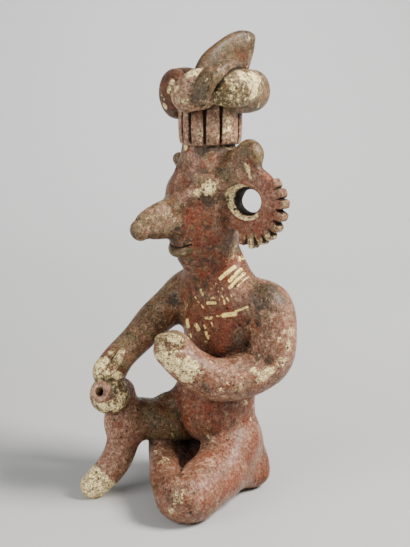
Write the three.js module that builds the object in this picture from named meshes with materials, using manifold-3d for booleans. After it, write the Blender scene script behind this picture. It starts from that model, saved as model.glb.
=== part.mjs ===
// A seated clay figure in one fired piece: one knee raised, the other leg folded under it,
// a beak nose, notched ring ears, and a turban with a crest on a fluted headdress.
// Millimetres, +Z up. The figure faces -Y and its left side is +X.
import * as THREE from "three";
import { mergeVertices } from "three/addons/utils/BufferGeometryUtils.js";
import Module from "manifold-3d";

const wasm = await Module();
wasm.setup();

// Driving dimensions. A station is [x, y, z, side radius, front radius] of the clay roll there.
const TORSO = [
  [3, 12, 10, 27, 14],
  [3, 8, 30, 23, 17],
  [1, 0, 50, 24.5, 20],
  [0, -4, 72, 28, 23.5],
  [0, -1, 94, 29.5, 22.5],
  [0, 0, 114, 33, 22.5],
  [0, -1, 130, 33, 21],
  [0, -4, 145, 25.5, 20],
  [0, -9, 161, 18.5, 19],
  [0, -13, 178, 15, 15],
];
const BELLY = { at: [4.5, -16, 58.5], radii: [20, 18.5, 24] };
const RIGHT_HIP = { at: [-23, -3, 18], radii: [17, 19, 19] };
const HEAD = [
  [0, -13, 156, 14.5, 14.5],
  [0, -15.5, 168, 20.3, 21],
  [0, -16, 182, 24, 24],
  [0, -14.5, 198, 24, 23.5],
  [0, -13, 212, 22.5, 21.5],
  [0, -12, 223, 19, 19],
  [0, -12, 233, 17, 17],
];
const NOSE = [
  [0, -31, 188, 12, 13.5],
  [0, -46, 186.5, 9.7, 12.3],
  [0, -56, 184.5, 8.4, 10],
  [0, -62, 182, 6.2, 7],
];
const BROW = [
  [5, -33.5, 197, 5.5, 5.5],
  [13, -29, 203, 5.2, 5.2],
  [21, -21, 209, 5, 5],
];
const UPPER_LIP = [
  [-12.5, -31.8, 173.8, 1.4, 1.4],
  [-7, -34.6, 172.4, 2.1, 2.3],
  [0, -36, 171.6, 2.5, 2.6],
  [7, -34.6, 172.4, 2.1, 2.3],
  [12.5, -31.8, 173.8, 1.4, 1.4],
];
const LOWER_LIP = [
  [-12.5, -31.4, 169.8, 1.8, 1.8],
  [-7, -34.8, 166.8, 3, 3.2],
  [0, -36.6, 165.6, 3.5, 3.7],
  [7, -34.8, 166.8, 3, 3.2],
  [12.5, -31.4, 169.8, 1.8, 1.8],
];
const NEAR_LUMP = [
  [20, -7, 213, 13, 12.5],
  [33.5, -3, 228.5, 10, 8.5],
];
const FAR_LUMP = [
  [-23, -12, 213, 6.5, 6.5],
  [-32, -15, 221.5, 4.4, 4.6],
];
const LEFT_ARM = [
  [24, 0, 135, 12.5, 12.5],
  [36.5, 8, 130.5, 15.5, 15.5],
  [41.3, 9.6, 112, 14.3, 15.3],
  [38.2, 4, 92.5, 15, 14.6],
  [28, -22, 85, 14, 14],
  [17, -39, 94, 12.5, 13],
  [9, -48, 105.5, 12.5, 12.5],
];
const RIGHT_ARM = [
  [-17.5, -2, 139, 14, 14],
  [-31, -8, 129.5, 14, 14],
  [-35, -25, 117, 12.5, 12.5],
  [-35, -42, 105, 11, 11],
  [-33.5, -59, 94, 10, 10.5],
  [-32, -70, 84.5, 11.2, 11],
];
const LEFT_LEG = [
  [15, -2, 34, 19, 20],
  [26.5, -26, 22.5, 17.5, 17],
  [33, -56, 16, 17, 17],
  [11, -54, 18, 11, 12],
  [-9, -43, 24, 10, 10],
  [-27, -32, 32, 9.5, 10],
];
const LEFT_HIP = [
  [26, -22, 18, 13, 14],
  [20, -4, 15.5, 12.5, 13],
  [14, 12, 13, 12.5, 12],
];
const RIGHT_THIGH = [
  [-8, -3, 47, 15, 14],
  [-19, -32, 46.5, 14.5, 14.5],
  [-27.5, -56, 52.5, 12, 12.5],
];
const RIGHT_SHIN = [
  [-29.3, -63, 70, 9.7, 9.7],
  [-29, -62, 50, 12.5, 12.5],
  [-29, -62.5, 35, 10.5, 10.5],
  [-30, -69, 21, 10.5, 10],
  [-33, -83, 7.8, 9.5, 8.5],
];
const RIGHT_THUMB = [
  [-25.5, -64, 99, 2.2, 2.4],
  [-22.5, -70, 94, 3.2, 3.4],
  [-22, -76.5, 88.5, 2.4, 2.4],
];
const HAND_PAD = [
  [5, -55, 113, 3.6, 3.2],
  [12, -54.5, 113.6, 5, 4.2],
  [18, -49.5, 113.4, 4.2, 3.8],
];
const FIST = { at: [-26.8, -73.3, 70.8], radii: [13.2, 13.2, 13] };
const VENT = { way: [0.391, -0.813, 0.431], out: 12.2, ring: 4.6, lip: 2, hole: 2.4, depth: 9 };
const HEAD_TURN = { angle: -6, axis: [0, -10, 0] }; // degrees, towards its right

const EAR = {
  at: [37, -8, 200],
  turn: 18, // degrees that the ear's face turns outwards from the front
  radius: 21.5,
  thick: 11,
  edge: 7.5,
};
// The ear's teeth: degrees below the side, and how far each reaches from the ear's middle.
const TEETH = [
  [-33, 24.6],
  [-16, 26],
  [0, 27.2],
  [18, 27.5],
  [36, 27.6],
  [53, 28],
  [69, 28.4],
  [85, 30],
  [101, 28.6],
];
const TOOTH_PITCH = 17;
// The ear's hole: depth in front of the plate's face, and radius there. It is wider than high.
const BORE = [
  [-22, 13],
  [-11, 11.4],
  [-7, 8.6],
  [-4, 9],
  [-1, 11.2],
  [0, 12],
  [10, 14],
];
const BORE_PLACE = { outwards: 0.2, flatten: 1.17 };

const DRUM = { at: [0, -11, 233], groove: 1.7, grooveHalf: 1.3 };
const DRUM_SIDE = [
  [0, -4],
  [18, -4],
  [18.8, 1],
  [20.2, 9],
  [20.8, 30],
  [0, 30],
];
const DRUM_GROOVES = [-8, 13, 42, 72, 116, 146, 176, 206, 236, 266, 296, 326]; // degrees, front to left
// Rolls of the turban: [degrees from the front to the left, radius, z, radial and upright radius].
const TURBAN_AT = [0, -9];
const TURBAN = [
  [
    [-20, 17, 265, 8, 10],
    [-38, 22.5, 265.5, 10, 14.5],
    [-58, 24, 264.5, 11, 16],
    [-90, 22.5, 266, 10.5, 15.5],
    [-125, 20, 268, 8, 10],
  ],
  [
    [160, 19, 268, 7, 9],
    [200, 23.5, 267, 10, 13],
    [240, 20, 268, 8, 10],
  ],
  [
    [92, 20, 261, 7, 8],
    [116, 23.5, 263, 9, 10.5],
    [142, 25, 266.5, 11.5, 13],
    [172, 24, 267, 10, 12],
    [200, 21, 268, 8, 9],
  ],
  [
    [17, 28.5, 264.5, 8, 10.5],
    [26, 28.5, 266.5, 9, 12],
    [37, 25.5, 269, 9.5, 12.5],
    [54, 20, 273, 8, 9],
  ],
  [
    [46, 21, 268, 7, 8],
    [66, 25.5, 268.5, 9, 10.5],
    [90, 26.5, 269, 10, 11.5],
    [113, 25, 269.5, 9.5, 10.5],
  ],
];
const STRAP = [
  [118, 14, 278, 4, 6],
  [88, 18.5, 282, 4, 6.3],
  [63, 26.5, 281.5, 4, 6.6],
  [46, 34.5, 273.5, 4, 7],
  [39, 37, 263, 3.6, 6.2],
];
const CREST = { thick: 9, foot: [-5, 268], start: [-20, 0] };
const CREST_CURVES = [
  [-20, 13, -11, 22, -2, 28],
  [6, 33.2, 13, 35.8, 21, 35.7],
  [30, 35.6, 31.4, 33, 29.6, 28],
  [28.6, 20, 26, 14, 21, 0],
];
const SOLE = 400; // edge of the block that the figure is cut flat by, at z = 0
const MIDDLE = [1.26, -33.23]; // middle of the footprint, which the origin is moved to

const radians = THREE.MathUtils.degToRad;
const point = ([x, y, z]) => new THREE.Vector3(x, y, z);

// A closed three.js geometry as a solid.
function solid(geometry) {
  const bare = geometry.clone();
  bare.deleteAttribute("normal");
  bare.deleteAttribute("uv");
  const merged = mergeVertices(bare, 1e-4);
  return new wasm.Manifold(
    new wasm.Mesh({
      numProp: 3,
      vertProperties: merged.attributes.position.array,
      triVerts: new Uint32Array(merged.index.array),
    }),
  );
}

const join = (solids) => solids.reduce((all, next) => all.add(next));

// A clay roll with round ends: a capsule whose rings follow a curve through the stations.
// The front direction says which way each ring's front radius points.
function roll(stations, { front = [0, -1, 0], around = 12, along = 2, cap = 2, blunt = 1 } = {}) {
  const path = new THREE.CatmullRomCurve3(stations.map(point), false, "catmullrom", 0.5);
  const girth = new THREE.CatmullRomCurve3(stations.map(([, , , a, b]) => new THREE.Vector3(a, b, 0)));
  const capsule = new THREE.CapsuleGeometry(1, 1, cap, around, along * (stations.length - 1));
  const position = capsule.attributes.position;
  for (let i = 0; i < position.count; i++) {
    const height = position.getY(i) + 0.5;
    const t = THREE.MathUtils.clamp(height, 0, 1);
    const radii = girth.getPoint(t);
    const tangent = path.getTangent(t);
    const side = point(front).cross(tangent).normalize();
    const face = tangent.clone().cross(side);
    const beyond = ((height - t) * blunt * (radii.x + radii.y)) / 2;
    const p = path
      .getPoint(t)
      .addScaledVector(tangent, beyond)
      .addScaledVector(side, position.getX(i) * radii.x)
      .addScaledVector(face, -position.getZ(i) * radii.y);
    position.setXYZ(i, p.x, p.y, p.z);
  }
  return solid(capsule);
}

// A ball of clay, with its three radii.
function ball(at, radii, around = 16) {
  const sphere = new THREE.SphereGeometry(1, around, around / 2);
  return solid(sphere.scale(...radii).translate(...at));
}

// The ear's plate: a lathed disc, thinner at its edge, whose outer and lower edge is drawn out into teeth.
function earPlate() {
  const { radius, thick, edge } = EAR;
  const profile = [
    [0, -thick],
    [radius * 0.65, -thick],
    [radius, (-thick - edge) / 2],
    [radius, (edge - thick) / 2],
    [radius * 0.65, 0],
    [0, 0],
  ].map(([r, y]) => new THREE.Vector2(r, y));
  const plate = new THREE.LatheGeometry(profile, 60).rotateX(Math.PI / 2);
  const position = plate.attributes.position;
  for (let i = 0; i < position.count; i++) {
    const [x, y] = [position.getX(i), position.getY(i)];
    const r = Math.hypot(x, y);
    const below = THREE.MathUtils.radToDeg(Math.atan2(-y, x));
    const [angle, reach] = TEETH.reduce((best, tooth) =>
      Math.abs(below - tooth[0]) < Math.abs(below - best[0]) ? tooth : best,
    );
    const place = Math.min(Math.abs(below - angle) / TOOTH_PITCH, 0.5);
    const grow = r > radius * 0.7 ? (reach - radius) * (0.5 + 0.5 * Math.cos(2 * Math.PI * place)) ** 0.6 : 0;
    const scale = r > 0 ? 1 + grow / r : 1;
    position.setXY(i, x * scale, y * scale);
  }
  return plate;
}

// The hole through the ear as a cutter: a throat that flares in front and behind.
function earBore() {
  const closed = [[BORE[0][0], 0], ...BORE, [BORE.at(-1)[0], 0]];
  const profile = closed.map(([depth, r]) => new THREE.Vector2(r, depth));
  return new THREE.LatheGeometry(profile, 16)
    .rotateX(Math.PI / 2)
    .scale(1, 1 / BORE_PLACE.flatten, 1)
    .translate(BORE_PLACE.outwards, 0, 0);
}

// One ear's plate and its bore, placed on the head; side is 1 for the left and -1 for the right.
function ear(side) {
  const place = (geometry) =>
    solid(
      geometry
        .rotateX(Math.PI / 2)
        .rotateZ(radians(EAR.turn))
        .translate(...EAR.at),
    );
  const made = { body: place(earPlate()), bore: place(earBore()) };
  return side > 0 ? made : { body: made.body.mirror([1, 0, 0]), bore: made.bore.mirror([1, 0, 0]) };
}

// The fluted drum: a lathe with four lines to a band, the first of them sunk into its groove.
function flutedDrum() {
  const { at, groove, grooveHalf } = DRUM;
  const profile = DRUM_SIDE.map(([r, y]) => new THREE.Vector2(r, y));
  const radius = DRUM_SIDE[2][0];
  const half = THREE.MathUtils.radToDeg(grooveHalf / radius);
  const lines = DRUM_GROOVES.flatMap((from, i) => {
    const to = i + 1 < DRUM_GROOVES.length ? DRUM_GROOVES[i + 1] : DRUM_GROOVES[0] + 360;
    return [from, from + half, (from + to) / 2, to - half];
  });
  const drum = new THREE.LatheGeometry(profile, lines.length);
  const position = drum.attributes.position;
  for (let i = 0; i < position.count; i++) {
    const line = Math.floor(i / profile.length) % lines.length;
    const [r, y] = [Math.hypot(position.getX(i), position.getZ(i)), position.getY(i)];
    const sunk = line % 4 === 0 && y > 0 ? groove : 0;
    const turn = radians(lines[line]);
    position.setXYZ(i, Math.max(r - sunk, 0) * Math.sin(turn), y, Math.max(r - sunk, 0) * Math.cos(turn));
  }
  return solid(drum.rotateX(Math.PI / 2).translate(...at));
}

// A roll of the turban, from stations around the headdress's own axis.
function turbanRoll(stations, options) {
  const around = stations.map(([angle, radius, z, radial, upright]) => [
    TURBAN_AT[0] + radius * Math.sin(radians(angle)),
    TURBAN_AT[1] - radius * Math.cos(radians(angle)),
    z,
    radial,
    upright,
  ]);
  return roll(around, { front: [0, 0, 1], around: 10, ...options });
}

// The crest: a thick leaf that leans back, standing along the figure's middle.
function crest() {
  const leaf = new THREE.Shape();
  leaf.moveTo(...CREST.start);
  CREST_CURVES.forEach((curve) => leaf.bezierCurveTo(...curve));
  const blade = new THREE.ExtrudeGeometry(leaf, {
    depth: CREST.thick - 6,
    curveSegments: 4,
    bevelEnabled: true,
    bevelThickness: 3,
    bevelSize: 3,
    bevelOffset: -3,
    bevelSegments: 2,
  }).translate(0, 0, 3 - CREST.thick / 2);
  return solid(
    blade
      .rotateX(Math.PI / 2)
      .rotateZ(Math.PI / 2)
      .translate(0, ...CREST.foot),
  );
}

// A shape made along +Z, turned to the vent hole's way and set at its mouth on the fist.
function atVent(geometry) {
  const way = point(VENT.way).normalize();
  const mouth = point(FIST.at).addScaledVector(way, VENT.out);
  const turn = new THREE.Quaternion().setFromUnitVectors(new THREE.Vector3(0, 0, 1), way);
  return solid(geometry.applyQuaternion(turn).translate(...mouth));
}

// The ring round the vent hole, and the hole as a cutter.
const ventRing = () => atVent(new THREE.TorusGeometry(VENT.ring, VENT.lip, 6, 14));
const ventHole = () => atVent(new THREE.CylinderGeometry(VENT.hole, VENT.hole, VENT.depth * 2, 12).rotateX(Math.PI / 2));

// The head, its lumps and its ears, turned a little on the neck, and the cutter of the ears' bores.
function head() {
  const [x, y, z] = HEAD_TURN.axis;
  const turned = (made) => made.translate(-x, -y, -z).rotate(0, 0, HEAD_TURN.angle).translate(x, y, z);
  const ears = [ear(1), ear(-1)];
  const thin = { around: 8 };
  const body = join([
    roll(HEAD, { around: 14, blunt: 0.6 }),
    roll(NOSE, { front: [0, 0, 1], along: 3 }),
    roll(UPPER_LIP, { ...thin, front: [0, 0, 1] }),
    roll(LOWER_LIP, { ...thin, front: [0, 0, 1] }),
    roll(BROW, thin),
    roll(BROW, thin).mirror([1, 0, 0]),
    roll(NEAR_LUMP),
    roll(FAR_LUMP, thin),
    ...ears.map(({ body }) => body),
  ]);
  return { body: turned(body), bores: turned(join(ears.map(({ bore }) => bore))) };
}

function figure() {
  const { body: headBody, bores } = head();
  const clay = join([
    headBody,
    roll(TORSO, { around: 16, blunt: 0.6 }),
    ball(BELLY.at, BELLY.radii, 14),
    ball(RIGHT_HIP.at, RIGHT_HIP.radii, 14),
    roll(LEFT_ARM, { front: [-0.83, 0.55, 0] }),
    roll(RIGHT_ARM, { front: [1, 0, 0] }),
    roll(LEFT_LEG, { front: [0, 0, 1] }),
    roll(LEFT_HIP, { front: [0, 0, 1] }),
    roll(RIGHT_THIGH, { front: [0, 0, 1] }),
    roll(RIGHT_SHIN, { front: [1, 0, 0] }),
    roll(RIGHT_THUMB, { front: [1, 0, 0], around: 8 }),
    roll(HAND_PAD, { front: [0, 0, 1], around: 10 }),
    ball(FIST.at, FIST.radii),
    ventRing(),
    flutedDrum(),
    ...TURBAN.map((stations) => turbanRoll(stations)),
    turbanRoll(STRAP, { front: [0.95, 0.3, 0] }),
    crest(),
  ]);
  const ground = solid(new THREE.BoxGeometry(SOLE, SOLE, SOLE).translate(0, 0, SOLE / 2));
  return clay.subtract(bores).subtract(ventHole()).intersect(ground);
}

// A solid as a three.js geometry.
function geometryOf(made) {
  const mesh = made.getMesh();
  return new THREE.BufferGeometry()
    .setAttribute("position", new THREE.BufferAttribute(mesh.vertProperties, 3))
    .setIndex(new THREE.BufferAttribute(mesh.triVerts, 1));
}

const firedClay = new THREE.MeshStandardMaterial({ color: 0x7c4a3a, roughness: 0.75, metalness: 0 });
const piece = new THREE.Mesh(geometryOf(figure()).translate(-MIDDLE[0], -MIDDLE[1], 0), firedClay);
piece.name = "figure";

const root = new THREE.Group();
root.add(piece);

export default root;
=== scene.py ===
import math

import bpy
import numpy as np
from mathutils import Matrix, Vector


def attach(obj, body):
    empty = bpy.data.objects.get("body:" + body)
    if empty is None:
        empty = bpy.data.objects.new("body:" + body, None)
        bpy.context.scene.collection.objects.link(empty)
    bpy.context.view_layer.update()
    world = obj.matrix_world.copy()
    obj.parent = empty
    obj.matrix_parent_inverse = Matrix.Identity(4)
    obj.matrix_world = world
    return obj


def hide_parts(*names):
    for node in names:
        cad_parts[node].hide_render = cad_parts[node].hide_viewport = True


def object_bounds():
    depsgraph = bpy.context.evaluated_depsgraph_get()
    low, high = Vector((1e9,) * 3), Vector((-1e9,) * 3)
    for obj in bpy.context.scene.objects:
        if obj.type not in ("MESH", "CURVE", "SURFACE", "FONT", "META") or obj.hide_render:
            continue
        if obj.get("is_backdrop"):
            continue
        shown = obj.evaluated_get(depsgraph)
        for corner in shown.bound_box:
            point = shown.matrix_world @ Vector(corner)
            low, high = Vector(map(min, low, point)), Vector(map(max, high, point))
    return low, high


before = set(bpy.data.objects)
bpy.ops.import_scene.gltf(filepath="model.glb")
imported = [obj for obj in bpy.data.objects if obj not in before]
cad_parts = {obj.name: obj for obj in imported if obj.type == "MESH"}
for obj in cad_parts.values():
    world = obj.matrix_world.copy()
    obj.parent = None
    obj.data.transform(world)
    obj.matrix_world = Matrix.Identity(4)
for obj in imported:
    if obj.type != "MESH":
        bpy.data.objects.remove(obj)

bl_info = {
    "name": "Seated Clay Figure",
    "version": (1, 0, 0),
    "blender": (4, 5, 0),
    "location": "View3D > Sidebar > Clay Figure",
    "description": "Models a hollow-built seated clay figure with its burnished, slipped and worn surface",
    "category": "Add Mesh",
}

# Sizes are in millimetres on the potter's own axes: the figure faces -Y, its left is +X, and the
# origin is under the pelvis. MIDDLE is the middle of the footprint, where the frame has its origin.
MIDDLE = np.array([1.26, -33.23, 0.0])

# Clay rolls. A station is x, y, z, side radius, front radius.
TORSO = [
    (3, 12, 10, 27, 14), (3, 8, 30, 23, 17), (1, 0, 50, 24.5, 20), (0, -4, 72, 28, 23.5),
    (0, -1, 94, 29.5, 22.5), (0, 0, 114, 33, 22.5), (0, -1, 130, 33, 21), (0, -4, 145, 25.5, 20),
    (0, -9, 161, 18.5, 19), (0, -13, 178, 15, 15),
]
HEAD = [
    (0, -13, 156, 14.5, 14.5), (0, -15.5, 168, 20.3, 21), (0, -16, 182, 24, 24), (0, -14.5, 198, 24, 23.5),
    (0, -13, 212, 22.5, 21.5), (0, -12, 223, 19, 19), (0, -12, 233, 17, 17),
]
NOSE = [(0, -31, 188, 12, 13.5), (0, -46, 186.5, 9.7, 12.3), (0, -56, 184.5, 8.4, 10), (0, -62, 182, 6.2, 7)]
BROW = [(5, -33.5, 197, 5.5, 5.5), (13, -29, 203, 5.2, 5.2), (21, -21, 209, 5, 5)]
UPPER_LIP = [(-12.5, -31.8, 173.8, 1.4, 1.4), (-7, -34.6, 172.4, 2.1, 2.3), (0, -36, 171.6, 2.5, 2.6),
             (7, -34.6, 172.4, 2.1, 2.3), (12.5, -31.8, 173.8, 1.4, 1.4)]
LOWER_LIP = [(-12.5, -31.4, 169.8, 1.8, 1.8), (-7, -34.8, 166.8, 3, 3.2), (0, -36.6, 165.6, 3.5, 3.7),
             (7, -34.8, 166.8, 3, 3.2), (12.5, -31.4, 169.8, 1.8, 1.8)]
MOUTH = [(-13.5, -32, 172.6, 0.6, 0.25), (-8, -36.8, 169.8, 1.2, 0.35), (0, -39.2, 168.9, 1.2, 0.4),
         (8, -36.8, 169.8, 1.2, 0.35), (13.5, -32, 172.6, 0.6, 0.25)]
UNDER_LIP = [(-11, -32.5, 161.5, 1.6, 1.4), (-6, -35.5, 159.4, 2.6, 2.2), (0, -37, 158.6, 3, 2.6),
             (6, -35.5, 159.4, 2.6, 2.2), (11, -32.5, 161.5, 1.6, 1.4)]
EYE, EYE_RADII = (22, -33, 198), (7, 5, 4.5)
NEAR_LUMP = [(20, -7, 213, 13, 12.5), (33.5, -3, 228.5, 10, 8.5)]
FAR_LUMP = [(-23, -12, 213, 6.5, 6.5), (-32, -15, 221.5, 4.4, 4.6)]
LEFT_ARM = [
    (24, 0, 135, 12.5, 12.5), (36.5, 8, 130.5, 15.5, 15.5), (41.3, 9.6, 112, 14.3, 15.3),
    (38.2, 4, 92.5, 15, 14.6), (28, -22, 85, 14, 14), (17, -39, 94, 12.5, 13), (9, -48, 105.5, 12.5, 12.5),
]
RIGHT_ARM = [
    (-17.5, -2, 139, 14, 14), (-31, -8, 129.5, 14, 14), (-35, -25, 117, 12.5, 12.5), (-35, -42, 105, 11, 11),
    (-33.5, -59, 94, 10, 10.5), (-32, -70, 84.5, 11.2, 11),
]
LEFT_LEG = [
    (15, -2, 34, 19, 20), (26.5, -26, 22.5, 17.5, 17), (33, -56, 16, 17, 17), (11, -54, 18, 11, 12),
    (-9, -43, 24, 10, 10), (-27, -32, 32, 9.5, 10),
]
LEFT_HIP = [(26, -22, 18, 13, 14), (20, -4, 15.5, 12.5, 13), (14, 12, 13, 12.5, 12)]
RIGHT_HIP, RIGHT_HIP_RADII = np.array([-23.0, -3.0, 18.0]), (17.0, 19.0, 19.0)
RIGHT_THIGH = [(-8, -3, 47, 15, 14), (-19, -32, 46.5, 14.5, 14.5), (-27.5, -56, 52.5, 12, 12.5)]
RIGHT_SHIN = [
    (-29.3, -63, 70, 9.7, 9.7), (-29, -62, 50, 12.5, 12.5), (-29, -62.5, 35, 10.5, 10.5),
    (-30, -69, 21, 10.5, 10), (-33, -83, 7.8, 9.5, 8.5),
]
RIGHT_THUMB = [(-25.5, -64, 99, 2.2, 2.4), (-22.5, -70, 94, 3.2, 3.4), (-22, -76.5, 88.5, 2.4, 2.4)]
THUMB_CREASE = [(-25.5, -67, 98.5, 1.2, 1.4), (-25, -72, 95, 1.6, 1.8), (-24.5, -77.5, 90.5, 1.2, 1.2)]
BELLY, BELLY_RADII = np.array([4.5, -16.0, 58.5]), (20.0, 18.5, 24.0)

FIST, FIST_RADII = np.array([-26.8, -73.3, 70.8]), (13.2, 13.2, 13.0)
KNOB_WAY = np.array([0.391, -0.813, 0.431])  # the way the vent hole faces
RING_RISE, RING_RADIUS, VENT_RADIUS, VENT_DEPTH = 12.2, 4.6, 2.4, 9.0
PAD = [(5, -55, 113, 3.6, 3.2), (12, -54.5, 113.6, 5, 4.2), (18, -49.5, 113.4, 4.2, 3.8)]
PAD_CREASE = [(8, -61, 109.6, 0.5, 0.5), (14, -58.6, 108.2, 0.8, 0.7), (20.5, -52, 108.2, 0.8, 0.7),
              (22.5, -45, 110, 0.5, 0.5)]
THUMB_FOLD = [(4, -57, 117.4, 0.5, 0.5), (10, -57.5, 117.4, 0.8, 0.8), (17, -53, 117.6, 0.8, 0.8),
              (21, -47, 117, 0.5, 0.5)]

HEAD_TURN, NECK_AXIS = math.radians(-6.0), np.array([0.0, -10.0, 0.0])
EAR_AT, EAR_TURN, EAR_RADIUS, EAR_THICK = np.array([37.0, -8.0, 200.0]), math.radians(18.0), 22.0, 11.0
# Each tooth's angle below the ear's middle in degrees and its reach, and the hole's depths and radii.
TEETH = [(-33, 24.6), (-16, 26), (0, 27.2), (18, 27.5), (36, 27.6), (53, 28), (69, 28.4), (85, 30),
         (101, 28.6)]
BORE = [(-22, 13), (-11, 11.4), (-7, 8.6), (-4, 9), (-2.5, 10), (-1, 11.2), (0, 12), (2, 13.5)]

DRUM_AT, DRUM_HEIGHT = np.array([0.0, -11.0, 233.0]), 30.0
DRUM_SIDE = [(0, 18.6), (3, 19.6), (9, 20), (18, 20), (30, 20.4)]  # height, radius
DRUM_GROOVES = (-8, 13, 42, 72, 116, 146, 176, 206, 236, 266, 296, 326)  # degrees from the front to the left

# Turban rolls: degrees from the front to the left, radius from the axis, z, radial and upright radius.
TURBAN_AT = np.array([0.0, -9.0, 0.0])
TURBAN = {
    "red roll": [(-20, 17, 265, 8, 10), (-38, 22.5, 265.5, 10, 14.5), (-58, 24, 264.5, 11, 16),
                 (-90, 22.5, 266, 10.5, 15.5), (-125, 20, 268, 8, 10)],
    "back roll": [(160, 19, 268, 7, 9), (200, 23.5, 267, 10, 13), (240, 20, 268, 8, 10)],
    "under roll": [(92, 20, 261, 7, 8), (116, 23.5, 263, 9, 10.5), (142, 25, 266.5, 11.5, 13),
                   (172, 24, 267, 10, 12), (200, 21, 268, 8, 9)],
    "pale roll": [(17, 28.5, 264.5, 8, 10.5), (26, 28.5, 266.5, 9, 12), (37, 25.5, 269, 9.5, 12.5),
                  (54, 20, 273, 8, 9)],
    "yellow roll": [(46, 21, 268, 7, 8), (66, 25.5, 268.5, 9, 10.5), (90, 26.5, 269, 10, 11.5),
                    (113, 25, 269.5, 9.5, 10.5)],
}
STRAP = [(118, 14, 278, 4, 6), (88, 18.5, 282, 4, 6.3), (63, 26.5, 281.5, 4, 6.6), (46, 34.5, 273.5, 4, 7),
         (39, 37, 263, 3.6, 6.2)]
CREST_FOOT, CREST_HALF = (-5.0, 268.0), 4.5
CREST_CURVES = [
    ((-20, 0), (-20, 13), (-11, 22), (-2, 28)),
    ((-2, 28), (6, 33.2), (13, 35.8), (21, 35.7)),
    ((21, 35.7), (30, 35.6), (31.4, 33), (29.6, 28)),
    ((29.6, 28), (28.6, 20), (26, 14), (21, 0)),
]

# The camera's frame and focal length in pixels, its sensor's longer side in millimetres, and the height that
# it aims at with that point's place in the frame.
PHOTO_WIDTH, PHOTO_HEIGHT, FOCAL_PIXELS, SENSOR_SIZE = 410, 547, 1000, 36
AIM_HEIGHT, AIM_ACROSS, AIM_DOWN = 155, 223, 261.7
KEY_COLOUR, FILL_COLOUR, WHITE = (1, 0.945, 0.87), (1, 0.98, 0.94), (1, 1, 1)

MARGIN = 9.0  # how far from a roll its distance is worked out
CHUNK = 200000  # points worked out at a time
SAMPLED_LOW, SAMPLED_HIGH = np.array([-66.0, -99.0, -4.0]), np.array([70.0, 37.0, 312.0])

# Coats on the clay, and what each leaves over the whole figure where nothing else is said.
CREAM, SOOT, OLIVE, RED, DUST = "cream", "soot", "olive", "red", "dust"

BARE = {CREAM: 0.0, SOOT: 0.12, OLIVE: 0.15, RED: 0.25, DUST: 0.2}
# How much of each coat lies all over a part.
PART_COATS = {
    "crest": {OLIVE: 0.6, SOOT: 0.48, DUST: 0.2},
    "red roll": {RED: 0.5, SOOT: 0.5},
    "pale roll": {CREAM: 0.2, DUST: 0.75, OLIVE: 0.5},
    "strap": {OLIVE: 0.7, SOOT: 0.45},
    "yellow roll": {CREAM: 0.34, OLIVE: 0.75},
    "under roll": {OLIVE: 0.75, SOOT: 0.35, DUST: 0.3},
    "back roll": {RED: 0.4, OLIVE: 0.4},
    "drum": {DUST: 0.85, OLIVE: 0.5},
    "head": {DUST: 0.35, OLIVE: 0.25},
    "near lump": {OLIVE: 0.6},
    "far lump": {OLIVE: 0.75},
    "ear": {DUST: 0.55, RED: 0.6},
    "nose": {DUST: 0.4, OLIVE: 0.65},
    "upper lip": {RED: 0.5, OLIVE: 0.35},
    "lower lip": {OLIVE: 0.85},
    "left arm": {DUST: 0.6},
    "right arm": {OLIVE: 0.5, DUST: 0.25},
    "pad": {OLIVE: 0.6, CREAM: 0.4},
    "thumb": {OLIVE: 0.5, CREAM: 0.45},
    "fist": {CREAM: 0.35, OLIVE: 0.5, SOOT: 0.4},
    "ring": {DUST: 0.9, CREAM: 0.2},
    "left leg": {DUST: 0.62, RED: 0.45},
    "right shin": {DUST: 0.7},
    "right thigh": {OLIVE: 0.5, SOOT: 0.25},
    "body": {RED: 0.5, DUST: 0.25},
}
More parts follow.
